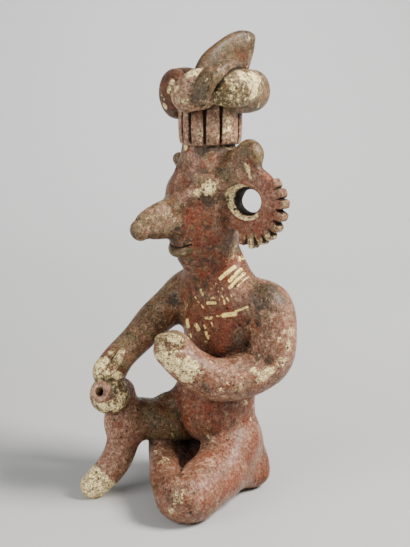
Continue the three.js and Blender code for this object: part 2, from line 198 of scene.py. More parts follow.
# Where each coat shows besides: the part that its patches keep to, and each patch's x, y, z, radius and
# strength.
COATS = {
    CREAM: {
        "crest": [(4.5, 16, 299, 3.5, 0.45), (4, 15.5, 282, 3.5, 0.4)],
        "red roll": [
            (-9, -34.5, 272, 3.5, 0.85), (-10.5, -36, 267, 3, 0.75), (-16, -35, 257, 3, 0.9),
            (-15.5, -36.5, 263, 2, 0.55),
        ],
        "pale roll": [
            (19.5, -34, 279, 5.5, 0.9), (15.5, -39, 277, 4, 0.7), (8.5, -44, 268, 3.5, 0.75),
            (14, -42, 260, 3.5, 0.6), (14.5, -38, 278, 3.5, 1), (19.5, -34, 279, 2.5, 0.9),
        ],
        "strap": [
            (29, -36, 274, 1.5, 0.6), (29.5, -25.5, 272, 1, 0.9), (28.5, -27.5, 268, 1, 0.8),
            (25, -27.5, 263, 1, 0.8),
        ],
        "yellow roll": [
            (34.5, -2.5, 274, 6, 1), (36, -4.5, 266, 4.5, 0.95), (32.5, -12.5, 277, 6, 0.85),
            (22.5, 12.5, 277, 3.5, 0.8), (32.5, -4.5, 277, 3.5, 1), (32.5, 1.5, 274, 3.5, 1),
            (36.5, -9, 270, 4, 1), (34.5, -3.5, 264, 3.5, 0.9), (34, -15, 275, 2.5, 0.6),
        ],
        "under roll": [(27.5, 5.5, 258, 2.5, 0.5)],
        "drum": [
            (12, -27.5, 241, 4, 0.5), (18.5, -18.5, 241, 2.5, 0.6), (18, -21, 253, 2, 0.4),
            (20.5, -13, 243, 6.5, 0.62), (20, -14.5, 251, 4, 0.5),
        ],
        "head": [
            (-1, -29.5, 233, 3, 0.85), (16.5, -14, 233, 2.5, 0.8), (17.5, -9, 231, 3, 0.75),
            (20.5, -30.5, 208, 5.5, 0.85), (15.5, -33.5, 204, 4, 0.8), (24, -26.5, 210, 3.5, 0.6),
            (27.5, -18.5, 220, 3, 1), (33, -16, 218, 2.5, 0.6),
        ],
        "anywhere": [
            (39, -13, 221, 2.5, 0.7), (40, -12, 217, 2.5, 0.75), (4.5, -49.5, 192, 2, 0.5),
            (6.5, -45.5, 190, 1.5, 0.7), (-25.5, -73.5, 53, 1, 0.85), (-22, -72, 55.5, 1, 0.8),
            (19, -27.5, 44.5, 1.5, 0.7), (-21, -72, 85.5, 4.5, 1), (-27, -80.5, 82.5, 2.5, 0.8),
            (18.5, -55.5, 115, 2, 0.9), (21, -52, 114, 1.5, 0.9), (15.5, -41, 113, 1.5, 0.9),
            (-21.5, -78, 86, 4, 1),
        ],
        "nose": [
            (-1, -63, 188, 6, 0.23), (-1, -56.5, 194, 3.5, 0.2), (1, -62, 184, 3.5, 0.2),
            (0.5, -62.5, 185, 3.5, 0.23),
        ],
        "body": [
            (10.5, -21.5, 111, 1.5, 0.9), (9.5, -22, 106, 1.5, 0.7), (-9, -21.5, 106, 2, 0.6),
            (27, -2, 65, 4, 0.55), (23, 7.5, 58, 2.5, 0.6), (25.5, 3, 51.5, 4, 0.5),
            (26, -18, 60, 1.5, 0.6), (-4, -30, 70, 1, 0.9), (-0.5, -32.5, 65.5, 1, 0.8),
            (2.5, -34, 61.5, 1, 0.9), (4.5, -34.5, 56.5, 1, 0.7), (6.5, -33.5, 51, 1, 0.8),
        ],
        "left arm": [
            # The patches on the upper arm's outer side, at x of 54 to 56.5, are slip with a painted highlight
            # where the light falls on that side.
            (56, 8.5, 119, 4, 0.6), (56.5, 7.5, 109, 4, 0.62), (55.5, 5, 99.5, 4, 0.6),
            (51.5, -1.5, 114, 2.5, 0.4), (49.5, -3.5, 108, 2.5, 0.4), (46, -12, 94, 2, 1),
            (44, -6, 102, 1, 0.9), (49, -7.5, 89.5, 4.5, 0.72), (51, -2.5, 92.5, 4, 0.62),
            (53, 0.5, 97, 3.5, 0.5), (37.5, -33, 83.5, 1.5, 0.95), (38.5, -31, 82.5, 1, 0.8),
            (40, -29, 87.5, 1, 0.9), (42, -25.5, 86, 1, 0.9), (15, -58.5, 106, 6.5, 0.95),
            (19.5, -55, 98.5, 6.5, 0.97), (23, -50.5, 92, 5.5, 0.93), (26.5, -47.5, 97.5, 6, 0.75),
            (30, -42.5, 94.5, 4, 0.5), (11, -59.5, 110, 4, 0.9), (9, -60.5, 103, 3.5, 0.95),
            (15.5, -57.5, 100, 5.5, 1), (21, -53, 94.5, 5.5, 1), (25.5, -48.5, 90.5, 4, 0.9),
            (25, -48, 101, 4.5, 0.75), (19, -53, 108, 4, 0.6), (13, -52.5, 118, 4, 0.5),
            (54.5, 2, 113, 2.5, 0.6), (55.5, 5.5, 119, 2.5, 0.65), (56.5, 7.5, 106, 2.5, 0.65),
            (54.5, 5, 96, 2.5, 0.6), (54.5, 10.5, 126, 2, 0.6), (54, 1, 103, 1.5, 0.6),
            (15, -58.5, 107, 4.5, 1), (18, -55.5, 98, 4.5, 1), (23, -51.5, 94.5, 4.5, 0.9),
        ],
        "pad": [(21.5, -52, 114, 2, 0.6), (16.5, -57.5, 115, 2, 0.5)],
        "right arm": [
            (-26, -56.5, 103, 2.5, 0.35), (-25.5, -65.5, 100, 3.5, 0.5), (-27.5, -77, 92.5, 6, 1),
            (-31, -81, 87, 4.5, 1), (-20.5, -78.5, 87.5, 4.5, 0.95), (-21, -70, 86, 4, 0.9),
            (-30, -69, 98.5, 3.5, 0.6), (-29, -79, 91, 6, 1), (-35.5, -76.5, 93, 4, 0.9),
            (-33.5, -81, 86.5, 2.5, 1), (-19.5, -76, 89.5, 5.5, 1), (-21, -67.5, 84, 3.5, 0.9),
            (-23.5, -78, 84, 4, 0.9), (-19, -71.5, 92, 3.5, 0.7), (-27.5, -77, 92.5, 4.5, 1),
            (-32, -81.5, 84, 2.5, 1), (-30, -80, 89.5, 5.5, 1),
        ],
        "fist": [
            (-17.5, -82.5, 68.5, 6, 0.8), (-14.5, -75, 65.5, 4.5, 0.85), (-26, -86, 69, 3.5, 0.7),
            (-13.5, -72.5, 73.5, 3.5, 0.7), (-21, -84.5, 68, 2.5, 1), (-16, -80, 67, 3.5, 1),
            (-14, -75, 67.5, 3.5, 1), (-14, -70, 73.5, 2.5, 0.9), (-19, -65.5, 78.5, 2.5, 0.8),
            (-24.5, -88.5, 73, 2.5, 0.9), (-18.5, -83, 68, 4.5, 1), (-13, -73, 71, 3.5, 1),
        ],
        "right shin": [(-26, -79.5, 23, 2.5, 0.35)],
        "left leg": [
            (36, -64.5, 30.5, 4, 0.3), (41.5, -70.5, 18.5, 4.5, 0.45), (21.5, -26.5, 43, 2.5, 0.4),
            # The patches at x -7 and 6.5 lighten the folded left shin, which lies in the thigh's shade: slip
            # with painted light.
            (-7, -50, 31.5, 5.5, 0.45), (6.5, -54.5, 30, 5.5, 0.45), (42, -69, 22, 6, 0.5),
            (39, -71.5, 12, 4, 0.5),
        ],
    },
    SOOT: {
        "crest": [(22, -30, 282, 6, 0.35), (2, -1.5, 298, 4.5, 0.3)],
        "pale roll": [(19.5, -40, 268, 4.5, 0.4), (19.5, -42, 262, 3.5, 0.35), (14.5, -42, 260, 2.5, 0.7)],
        "strap": [(29.5, -37.5, 269, 5.5, 0.6), (28, -38, 259, 2, 0.9)],
        "head": [
            (11, -25, 232, 7.5, 0.8), (16, -18, 231, 4, 0.6), (-10, -30.5, 218, 5.5, 0.55),
            (14.5, -27.5, 218, 3.5, 0.75), (5.5, -30.5, 223, 2.5, 0.5), (19.5, -31, 206, 2.5, 0.9),
            (22, -28.5, 209, 2, 0.8), (20, -28.5, 200, 5.5, 0.85), (23.5, -22.5, 202, 2.5, 0.7),
            (20, -28.5, 184, 2.5, 0.7), (18.5, -29, 178, 2, 0.65), (18.5, -24, 168, 2.5, 0.6),
            (21.5, -25, 192, 2.5, 0.5), (20.5, -12.5, 169, 4.5, 0.55), (16.5, -1, 172, 4, 0.55),
            (20.5, -9.5, 172, 3.5, 0.8),
        ],
        "near lump": [(39.5, -13, 231, 4, 0.5)],
        "anywhere": [
            (23.5, -20, 188, 3.5, 0.6), (22.5, -22.5, 194, 2.5, 0.5), (12, -28.5, 160, 3.5, 0.5),
            (5.5, -31.5, 160, 3.5, 0.55), (7, -42, 182, 2.5, 0.95), (-0.5, -41, 174, 3, 0.85),
            (43.5, -4, 139, 9.5, 0.85), (51, 1.5, 133, 5.5, 0.6), (42.5, -6.5, 126, 5.5, 0.75),
            (33.5, -8, 122, 5.5, 0.55), (43.5, 0, 142, 11.5, 0.95), (51, 7, 136, 5.5, 0.7),
            (24, -40, 267, 1.5, 1), (25, -40.5, 263, 1.5, 1), (24.5, -39, 271, 1, 0.9),
            (17, -2, 166, 3.5, 0.9), (19.5, -10, 163, 2.5, 0.7), (16.5, -20, 156, 4, 0.6),
            (10, -23, 145, 4.5, 0.9), (3, -26, 147, 4.5, 0.8), (14.5, -21, 151, 3.5, 0.6),
            # The three patches under the right thigh, near x -11 to -18 and z 18 to 28, paint the pocket
            # between the legs black as its shade.
            (-14, -17, 26, 5.5, 1), (-18, -21, 18.5, 4, 1), (-11, -12.5, 28, 4, 1),
            (17, -28, 43.5, 2.5, 0.8), (45, -5, 135, 5.5, 0.8), (19.5, -5, 174, 4.5, 1),
            (15.5, 0, 166, 4, 1), (17, 0.5, 161, 2.5, 0.7), (21, -15, 170, 4, 0.6),
            (16.5, -21.5, 160, 4, 0.6), (28, -0.5, 48.5, 1, 0.9),
        ],
        "nose": [
            (-4, -68.5, 182, 3.5, 0.6), (-3, -55, 176, 4.5, 0.55), (-4.5, -67.5, 178, 2, 0.8),
            (-1.5, -57.5, 177, 3.5, 0.6),
        ],
        "lower lip": [(-1, -39, 164, 3.5, 0.4)],
        "body": [
            (29.5, -9.5, 108, 6, 0.85), (26, -13.5, 103, 4, 0.8), (-8, -21.5, 131, 4.5, 0.6),
            (1.5, -22, 120, 2.5, 0.4), (25.5, -16, 68, 3.5, 0.6), (34.5, -34, 78.5, 5.5, 0.45),
        ],
        "left arm": [
            (45, -4.5, 119, 4, 0.5), (44, -6.5, 101, 4.5, 0.8), (49.5, -3, 100, 4, 0.75),
            (33, -9.5, 102, 4, 0.5), (32.5, -39.5, 84, 5.5, 0.55), (44.5, -18, 80, 3.5, 0.4),
        ],
        "right arm": [
            (-24.5, -25, 128, 6, 0.6), (-23.5, -54.5, 98.5, 4.5, 0.5), (-28, -72, 95.5, 2.5, 0.7),
        ],
        "fist": [
            (-15, -77, 76.5, 4, 0.65), (-18.5, -77, 81, 3.5, 0.5), (-16.5, -74, 79.5, 2.5, 0.9),
            (-20.5, -59.5, 71.5, 2.5, 0.9),
        ],
        "ring": [(-15, -82, 76.5, 2, 0.5)],
        "right shin": [
            (-28, -73, 41, 2.5, 0.4), (-31.5, -92, 6, 4, 0.5), (-27.5, -90, 7, 2.5, 0.9),
            (-25, -83.5, 16, 2, 0.8), (-31.5, -92, 10.5, 1.5, 0.8), (-23, -78.5, 9.5, 2, 0.8),
            (-32, -88.5, 16, 1.5, 0.7),
        ],
        "right thigh": [(-9, -46, 48.5, 8, 0.6), (-10, -33, 63, 5.5, 0.6), (-6, -38.5, 43, 5.5, 0.6)],
        "left leg": [(38, -72, 20, 5.5, 0.5), (48, -64.5, 16, 4.5, 0.4), (44, -66, 25.5, 4, 0.5)],
        "yellow roll": [(36, -6.5, 266, 1, 1), (35, -10, 262, 1, 1), (36.5, -8.5, 269, 1, 0.9)],
    },
    OLIVE: {
        "crest": [(4.5, -13, 286, 9.5, 0.7), (3, -5.5, 295, 7.5, 0.6)],
        "red roll": [(-12, -30.5, 253, 4, 0.5)],
        "yellow roll": [
            (29.5, -25, 264, 5.5, 0.8), (32.5, -16.5, 261, 4.5, 0.7), (34.5, -18.5, 268, 4.5, 0.8),
            (29, 7, 262, 3.5, 0.7), (31, -8.5, 259, 4, 0.8),
        ],
        "under roll": [(27.5, 8.5, 259, 5.5, 0.8)],
        "drum": [(16.5, -22.5, 244, 5.5, 0.9)],
        "head": [
            (-29, -15.5, 221, 6, 0.9), (-15, -31.5, 211, 5.5, 0.7), (13, -24.5, 228, 6, 0.7),
            (15, -30.5, 213, 5.5, 0.75), (13.5, -33, 210, 4.5, 0.5), (19, -22, 220, 6.5, 0.6),
            (-1, -30.5, 225, 6.5, 0.7),
        ],
        "far lump": [(-31.5, -15.5, 223, 3.5, 0.9)],
        "near lump": [(36, -14, 232, 6, 0.9)],
        "anywhere": [
            (12, -25.5, 156, 3.5, 0.5), (5.5, -43, 197, 4.5, 0.5), (43, 3.5, 144, 5.5, 0.8),
            (49.5, 7, 138, 4.5, 0.7), (46, 5, 142, 8, 0.9), (13.5, -51.5, 118, 5.5, 1),
            (15, -44.5, 116, 4, 0.9), (35, -2, 146, 4.5, 0.8),
        ],
        "nose": [
            (0.5, -60.5, 189, 6.5, 0.55), (4, -52, 182, 4.5, 0.5), (-1, -59, 192, 5.5, 0.9),
            (0, -50.5, 197, 4.5, 0.8), (3.5, -49.5, 181, 4.5, 0.7),
        ],
        "lower lip": [(2.5, -39, 166, 6, 0.9)],
        "upper lip": [(-1.5, -39, 172, 3.5, 0.5)],
        "body": [(29, -11, 113, 4, 0.7), (40, -26.5, 79, 4, 0.5)],
        "left arm": [
            (27, -21, 99, 6, 0.5), (41.5, -21, 77.5, 5.5, 0.55), (9.5, -49, 118, 6, 0.9),
            (-20.5, -17.5, 105, 4.5, 0.6), (9, -60.5, 107, 2.5, 0.7), (45.5, -5, 109, 3.5, 0.6),
        ],
        "pad": [(18.5, -52.5, 116, 6.5, 0.7)],
        "right arm": [
            (-37.5, -24.5, 132, 8, 0.65), (-33, -40.5, 120, 8, 0.7), (-29.5, -55, 108, 7.5, 0.85),
            (-22.5, -64, 91, 4.5, 0.7),
        ],
        "thumb": [(-19.5, -70.5, 94.5, 4, 0.9)],
        "fist": [
            (-13.5, -69.5, 71.5, 4, 0.8), (-16.5, -69, 78.5, 4, 0.7), (-16, -77.5, 78, 4, 1),
            (-19, -78, 81, 2.5, 0.9),
        ],
        "right thigh": [(-14, -50.5, 57.5, 9.5, 0.85)],
        "left leg": [(-5, -44, 33.5, 4, 0.5), (-7, -37.5, 33.5, 4, 0.9)],
        "strap": [(30, -37, 269, 4.5, 0.9), (29, -38, 263, 4, 0.9)],
        "pale roll": [(19.5, -42, 263, 4, 0.9)],
        "right shin": [(-25, -85.5, 6.5, 3.5, 0.7)],
    },
    RED: {
        "crest": [(4.5, 12, 292, 8, 0.7), (26, -11.5, 284, 6.5, 0.65)],
        "yellow roll": [(35, -15.5, 273, 4, 0.35)],
        "drum": [
            (7.5, -30.5, 249, 4, 0.6), (11.5, -28, 252, 4.5, 0.85), (17.5, -22.5, 254, 4, 0.6),
            (22.5, -11.5, 254, 3.5, 0.6),
        ],
        "head": [
            (-5.5, -37.5, 205, 4.5, 0.6), (3.5, -31.5, 222, 4.5, 0.35), (3, -35.5, 209, 6, 0.5),
            (28.5, -19.5, 214, 4, 0.6), (16, -33, 191, 9.5, 0.95), (16, -31.5, 175, 10.5, 0.95),
            (12.5, -37, 187, 6.5, 1), (19, -30, 185, 8, 1), (20, -25, 175, 6.5, 1),
            (23, -17.5, 180, 5.5, 0.7), (24, -18, 197, 5.5, 0.8),
        ],
        "near lump": [(41.5, -11, 224, 5.5, 0.7)],
        "ear": [
            (34, -12.5, 184, 6, 0.6), (52.5, -8, 211, 4, 0.5), (46, -10, 186, 6, 1),
            (36, -12, 184, 5.5, 1), (54.5, -8, 194, 4, 0.8),
        ],
        "anywhere": [
            (17, -19.5, 160, 8, 0.9), (-20.5, -71.5, 51, 4, 0.7), (-15.5, -64, 54.5, 4, 0.5),
            (37.5, -5.5, 27.5, 8, 0.75), (45, -25, 23, 6.5, 0.7), (31.5, 6.5, 18, 5.5, 0.8),
            (38, -7.5, 31, 10, 1), (46, -29.5, 20.5, 8, 0.95), (31.5, 5.5, 14.5, 5.5, 0.9),
            (33.5, -9, 42.5, 5.5, 0.6), (12.5, -32, 167, 8, 1), (12, -24.5, 153, 6.5, 0.95),
            (-13.5, -74, 74.5, 2, 0.5), (18.5, -55.5, 111, 2.5, 0.6), (21, -50, 110, 2.5, 0.6),
            (20, -7, 159, 4.5, 0.9), (26, 0.5, 52, 6.5, 1), (32.5, 2, 39.5, 5.5, 1),
            (43, -20, 27.5, 5.5, 0.9),
        ],
        "nose": [(2.5, -49, 178, 4, 0.5)],
        "upper lip": [(7.5, -37.5, 174, 4, 0.6)],
        "body": [
            (20.5, -17.5, 135, 8, 0.6), (21, -17.5, 121, 6, 0.6), (21, -17.5, 106, 5.5, 0.5),
            (18.5, -29.5, 65, 8, 0.85), (18, -29.5, 53, 5.5, 0.7), (20, -14.5, 148, 5.5, 0.8),
            (15, -19.5, 127, 8, 0.8), (23, -16.5, 113, 6.5, 0.9),
        ],
        "left arm": [
            (55.5, 14.5, 111, 2.5, 0.6), (52.5, 14.5, 129, 2, 0.4), (49.5, -3, 113, 6, 0.5),
            (42, -26, 85, 2.5, 0.95), (40, -29.5, 86, 2, 0.8),
        ],
        "right arm": [(-40, -47, 114, 3.5, 0.4)],
        "fist": [(-21.5, -78.5, 60, 4, 0.5), (-22.5, -59.5, 76, 2.5, 0.7)],
        "right shin": [(-19.5, -69.5, 25, 4, 0.5), (-26.5, -88.5, 10.5, 2.5, 0.8)],
        "left leg": [
            (9.5, -63.5, 24.5, 5.5, 0.4), (46.5, -66.5, 13.5, 5.5, 0.5), (45.5, -37, 27.5, 8, 0.6),
            (48.5, -52.5, 25, 6, 0.5), (50.5, -46.5, 18.5, 6, 0.8), (48, -36.5, 19, 5.5, 0.9),
            (37, -5, 32, 8.5, 0.9), (33, -12, 43, 7.5, 0.7), (41.5, -14, 21.5, 7.5, 0.9),
            (43, -30, 30.5, 6, 0.5),
        ],
    },
    DUST: {
        "crest": [(4.5, 14.5, 297, 5.5, 0.7), (3.5, 18.5, 286, 5.5, 0.6)],
        "red roll": [(-12.5, -25.5, 279, 4.5, 0.5), (7, -44, 269, 2, 0.6)],
        "strap": [(31, -26.5, 281, 5.5, 0.75), (26, -31, 281, 3.5, 0.6)],
        "under roll": [(28.5, 10, 268, 4.5, 0.6)],
        "drum": [(0, -32, 246, 4, 0.7)],
        "head": [
            (4.5, -29, 233, 2.5, 0.6), (3.5, -30, 226, 5.5, 0.75), (13, -25.5, 224, 4.5, 0.4),
            (2.5, -34, 214, 4.5, 0.6), (10.5, -37, 205, 5.5, 0.85), (3.5, -40.5, 202, 4.5, 0.7),
            (26, -22, 212, 4, 0.7), (22, -19.5, 176, 4, 0.35), (-2.5, -35, 212, 5.5, 0.8),
            (10, -31, 217, 6, 0.6), (10.5, -27.5, 225, 6, 0.8), (22.5, -28.5, 207, 5.5, 0.5),
            (40, -11.5, 217, 4.5, 0.7),
        ],
        "anywhere": [
            (35, -15, 216, 4.5, 0.7), (24, -14.5, 182, 2.5, 0.6), (25, -25.5, 210, 3.5, 0.5),
            (3.5, -50, 194, 5.5, 0.85), (6.5, -45.5, 188, 4, 0.8), (31, -11, 139, 6, 0.65),
            (36, -5.5, 143, 6, 0.6), (25.5, -7, 149, 4, 0.4), (34.5, -15, 40, 5.5, 0.5),
            (32.5, 2, 39.5, 3.5, 0.4), (24.5, -14, 182, 3.5, 0.6), (27, -12, 142, 5.5, 0.7),
            (37, -8, 137, 6, 0.7),
        ],
        "ear": [
            (53.5, -8.5, 201, 6, 0.65), (49, -9, 187, 5.5, 0.5), (56.5, -6.5, 205, 4, 0.6),
            (48, -8, 182, 2, 0.5),
        ],
        "nose": [(-0.5, -58, 193, 5.5, 0.8)],
        "body": [
            (-8, -21.5, 120, 4, 0.4), (6.5, -32.5, 67.5, 4, 0.35), (-2, -29.5, 73, 2.5, 0.6),
            (0.5, -32.5, 67.5, 2.5, 0.6), (4, -34, 61, 2.5, 0.6), (8, -34, 54.5, 2.5, 0.6),
            (27, -7, 64.5, 6, 0.6), (26.5, -5, 53.5, 6.5, 0.6),
        ],
        "left arm": [
            # The patches on the upper arm's outer side, at x of 53.5 to 56, are bloom with a painted
            # highlight where the light falls on that side.
            (56, 9.5, 119, 6.5, 0.95), (56, 6, 105, 7.5, 0.95), (53.5, 11.5, 130, 4.5, 0.8),
            (51.5, -1.5, 121, 5.5, 0.6), (48, -4, 106, 5.5, 0.7), (48, -5, 81, 4.5, 0.6),
            (43.5, -18, 93, 6, 0.75), (37, -27, 94.5, 6.5, 0.8), (31, -37, 97.5, 6, 0.8),
            (36.5, -33.5, 89.5, 5.5, 0.6), (16.5, -57.5, 111, 3.5, 0.7), (20, -52.5, 107, 4, 0.7),
            (23.5, -48.5, 105, 4, 0.6), (26.5, -42.5, 102, 4, 0.6), (50, -2.5, 119, 6, 0.8),
            (56, 7.5, 116, 6, 1), (55.5, 6.5, 99.5, 5.5, 1),
        ],
        "right arm": [
            (-35.5, -27.5, 130, 5.5, 0.3), (-28.5, -41, 117, 4.5, 0.35), (-35, -63.5, 103, 4.5, 0.6),
        ],
        "thumb": [(-19, -72.5, 91.5, 2.5, 0.4)],
        "fist": [(-20.5, -83, 65, 4.5, 0.6)],
        "ring": [(-22, -87, 74, 3.5, 0.8), (-21.5, -83.5, 81.5, 3.5, 0.8)],
        "right shin": [
            (-23, -71.5, 41.5, 5.5, 0.65), (-25, -75.5, 29, 5.5, 0.85), (-19.5, -66.5, 33, 4.5, 0.5),
            (-26.5, -89, 8.5, 4, 0.5), (-19.5, -67, 29.5, 5.5, 0.8), (-21, -71.5, 47.5, 5.5, 0.7),
        ],
        "right thigh": [(-19.5, -46.5, 62, 4, 0.25)],
        "left leg": [
            (-2, -51, 31, 8, 0.85), (42, -66, 27.5, 9.5, 0.75), (35, -40, 35.5, 8, 0.9),
            (30, -26, 40, 6, 0.7), (43, -52.5, 31, 6, 0.6), (-11.5, -46, 34, 6, 0.9),
            (16, -60, 29, 6, 0.8), (47.5, -64, 21, 8, 0.7), (-6.5, -48, 32.5, 5.5, 1),
            (33.5, -68.5, 27.5, 6, 0.9), (48.5, -61, 24, 8, 0.8),
        ],
        "pale roll": [(16.5, -42.5, 267, 4, 0.9), (13, -43, 271, 3.5, 0.8)],
    },
}
# Creases with less painted shade and dirt: place, radius and the share that stays.
LIGHTER_CREASES = [((14, -56, 110), 13, 0.35), ((-3, -40, 169), 14, 0.9)]
# The foot's slip starts at a straight edge: the way across the edge, its place along that way, and the height
# and x that the foot stays below.
FOOT_WAY, FOOT_LINE, FOOT_BELOW, FOOT_RIGHT = np.array([-0.154, -0.718, -0.677]), 48.5, 30, -15
# The ears lie beyond this distance from the middle, between these heights.
EARS_FROM, EARS_LOW, EARS_HIGH = 20, 165, 238

# Strokes of the painted necklace: start, end (millimetres), half width and how whole they are.
NECKLACE_WAY = (0.62, -0.72, 0.31)
NECKLACE = [
    ((14.4, 5.9, 159.7), (19.9, -6.2, 158.0), 1.5, 0.6),
    ((20.6, -7.2, 155.7), (18.0, -16.6, 148.9), 1.3, 0.85),
    ((17.6, -17.5, 147.3), (13.0, -20.4, 141.7), 1.1, 0.42),
    ((22.5, -3.7, 153.9), (22.4, -12.7, 147.5), 1.3, 0.9),
    ((24.8, -2.7, 151.5), (23.8, -13.5, 143.6), 1.2, 1),
    ((27.4, -1.6, 149.5), (27.4, -10.3, 144.5), 0.53, 0.9),
    ((9.8, -20.7, 131.9), (15.7, -19.2, 132.8), 1.1, 0.8),
    ((12.8, -20.2, 135.4), (15.6, -19.1, 136.4), 0.73, 0.6),
    ((21.8, -16.7, 135.2), (22.6, -16.9, 133.4), 0.73, 1),
    ((23.5, -15.7, 137.0), (24.6, -15.4, 135.6), 0.73, 1),
    ((20.3, -17.2, 138.0), (21.0, -16.9, 137.1), 0.6, 0.9),
    ((25.6, -14.1, 139.2), (26.3, -14.2, 138.3), 0.53, 0.8),
    ((18.9, -18.1, 135.8), (19.0, -18.2, 134.9), 0.47, 0.8),
    ((17.3, -18.1, 140.8), (18.1, -17.9, 140.3), 0.53, 0.7),
    ((19.6, -16.6, 143.0), (20.1, -16.5, 142.4), 0.53, 0.7),
    ((-1.6, -22.2, 133.9), (-0.1, -22.1, 132.8), 0.47, 0.8),
    ((1.2, -21.9, 131.7), (2.2, -21.8, 130.9), 0.47, 0.8),
    ((4.5, -21.6, 129.6), (6.4, -21.4, 128.0), 0.6, 0.9),
    ((5.0, -22.7, 139.6), (6.4, -22.2, 137.4), 1.1, 0.62),
    ((8.7, -21.1, 121.7), (13.7, -20.1, 122.6), 1.1, 0.7),
    ((14.1, -20.0, 123.0), (21.5, -17.3, 125.7), 0.73, 0.62),
    ((21.8, -17.1, 125.5), (28.8, -13.4, 127.3), 1.5, 0.95),
    ((29.0, -13.5, 128.8), (36.0, -9.1, 132.5), 0.83, 0.9),
    ((32.4, -11.4, 130.5), (36.5, -9.1, 130.8), 0.53, 0.6),
    ((-11.7, -21.2, 115.8), (-10.1, -21.6, 112.4), 1.6, 0.85),
    ((-0.3, -22.4, 115.3), (2.5, -22.5, 113.2), 1.5, 0.8),
    ((7.9, -21.7, 116.6), (8.9, -21.7, 115.1), 0.87, 0.7),
    ((13.5, -20.3, 119.5), (14.4, -20.2, 117.4), 0.73, 0.6),
    ((9.6, -21.8, 112.2), (11.2, -21.4, 108.9), 1.1, 0.8),
    ((-6.6, -22.2, 107.8), (-6.0, -22.2, 105.9), 0.73, 0.8),
]


def curve_samples(stations, per_span=10):
    """Catmull-Rom curve: on each span, half of (2B + (C-A)t + (2A-5B+4C-D)t^2 + (3B-A-3C+D)t^3)."""
    s = np.asarray(stations, float)
    s = np.vstack([2 * s[0] - s[1], s, 2 * s[-1] - s[-2]])
    a, b, c, d = (s[i:len(s) - 3 + i, None, :] for i in range(4))
    t = (np.arange(per_span) / per_span)[None, :, None]
    curve = 0.5 * (2 * b + (c - a) * t + (2 * a - 5 * b + 4 * c - d) * t**2 + (3 * b - a - 3 * c + d) * t**3)
    return np.vstack([curve.reshape(-1, s.shape[1]), s[-2]])


def unit(vectors):
    """Each vector divided by its length."""
    return vectors / np.maximum(np.linalg.norm(vectors, axis=-1, keepdims=True), 1e-9)


def roll_path(stations, front):
    """Centres, tangents, side and front directions and radii along a roll: side = front x tangent."""
    samples = curve_samples(stations)
    centres, radii = samples[:, :3], np.maximum(samples[:, 3:5], 0.3)
    tangents = unit(np.gradient(centres, axis=0))
    sides = unit(np.cross(np.broadcast_to(front, tangents.shape), tangents))
    faces = np.cross(tangents, sides)
    return tuple(x.astype(np.float32) for x in (centres, tangents, sides, faces, radii))


def roll_distance(points, path, blunt=1.0, power=2.0):
    """Distance outside a roll: with offsets s, f, t along its side, front and end directions at the nearest
    centre, length(s, f, t) x (1 - 1 / norm(s/side radius, f/front radius, t/end radius)), where the norm's
    power is 2 for an oval section and more for a squarer one."""
    centres, tangents, sides, faces, radii = path
    middle = centres.mean(0)
    local = centres - middle
    squares = (local**2).sum(1)
    result = np.empty(len(points), np.float32)
    for start in range(0, len(points), CHUNK):
        p = points[start:start + CHUNK] - middle
        nearest = np.argmin(squares - 2 * (p @ local.T), axis=1)
        d = p - local[nearest]
        s = np.einsum("ij,ij->i", d, sides[nearest])
        f = np.einsum("ij,ij->i", d, faces[nearest])
        t = np.einsum("ij,ij->i", d, tangents[nearest])
        t = np.where(nearest == 0, np.minimum(t, 0), np.where(nearest == len(local) - 1, np.maximum(t, 0), 0))
        a, b = radii[nearest].T
        size = np.sqrt(s * s + f * f + t * t) + 1e-6
        parts = (np.abs(s / a), np.abs(f / b), np.abs(2 * t / (blunt * (a + b))))
        ratio = sum(part**power for part in parts)**(1 / power) + 1e-6
        result[start:start + CHUNK] = size * (1 - 1 / ratio)
    return result


def ball_distance(points, centre, radii):
    """Distance outside an ellipsoid, as length(d) x (1 - 1 / length(d / radii))."""
    d = points - np.asarray(centre, np.float32)
    size = np.linalg.norm(d, axis=1) + 1e-6
    return size * (1 - 1 / (np.linalg.norm(d / np.asarray(radii, np.float32), axis=1) + 1e-6))


def smooth_min(a, b, k):
    """The lower of a and b, less k/4 x h^2 where h = max(k - |a - b|, 0) / k: a fillet k wide."""
    h = np.maximum(k - np.abs(a - b), 0) / k
    return np.minimum(a, b) - h * h * k / 4


def ramp(value, low, high):
    """Smooth step: 3u^2 - 2u^3 of u, the value between low and high clipped to 0..1."""
    u = np.clip((value - low) / (high - low), 0, 1)
    return u * u * (3 - 2 * u)


def to_head(points):
    """Points turned back about the neck, into the frame where the face looks straight along -Y."""
    c, s = math.cos(-HEAD_TURN), math.sin(-HEAD_TURN)
    d = points - NECK_AXIS
    turned = np.stack([c * d[:, 0] - s * d[:, 1], s * d[:, 0] + c * d[:, 1], d[:, 2]], axis=1)
    return (turned + NECK_AXIS).astype(np.float32)


def to_left(points):
    """Points folded onto the left side, as |x|, y, z."""
    return np.stack([np.abs(points[:, 0]), points[:, 1], points[:, 2]], axis=1)


def on_ear(points):
    """Head points, folded onto the left side, as outward, upward and forward offsets from the ear's hole."""
    d = to_left(points) - EAR_AT
    c, s = math.cos(EAR_TURN), math.sin(EAR_TURN)
    return d[:, 0] * c + d[:, 1] * s, d[:, 2], d[:, 0] * s - d[:, 1] * c


def rounded_box(*offsets_and_halves, round_by=1.0):
    """Distance outside a box with edges rounded by r: length(max(q, 0)) + min(max(q), 0) - r, where
    q = |d| - (half - r)."""
    q = np.stack([np.abs(d) - (half - round_by) for d, half in offsets_and_halves])
    return np.linalg.norm(np.maximum(q, 0), axis=0) + np.minimum(q.max(0), 0) - round_by


def hole_reach(out, up):
    """Distance from the line through the ear's hole, which is wider than it is high."""
    return np.hypot(out - 0.2, up * 1.17)


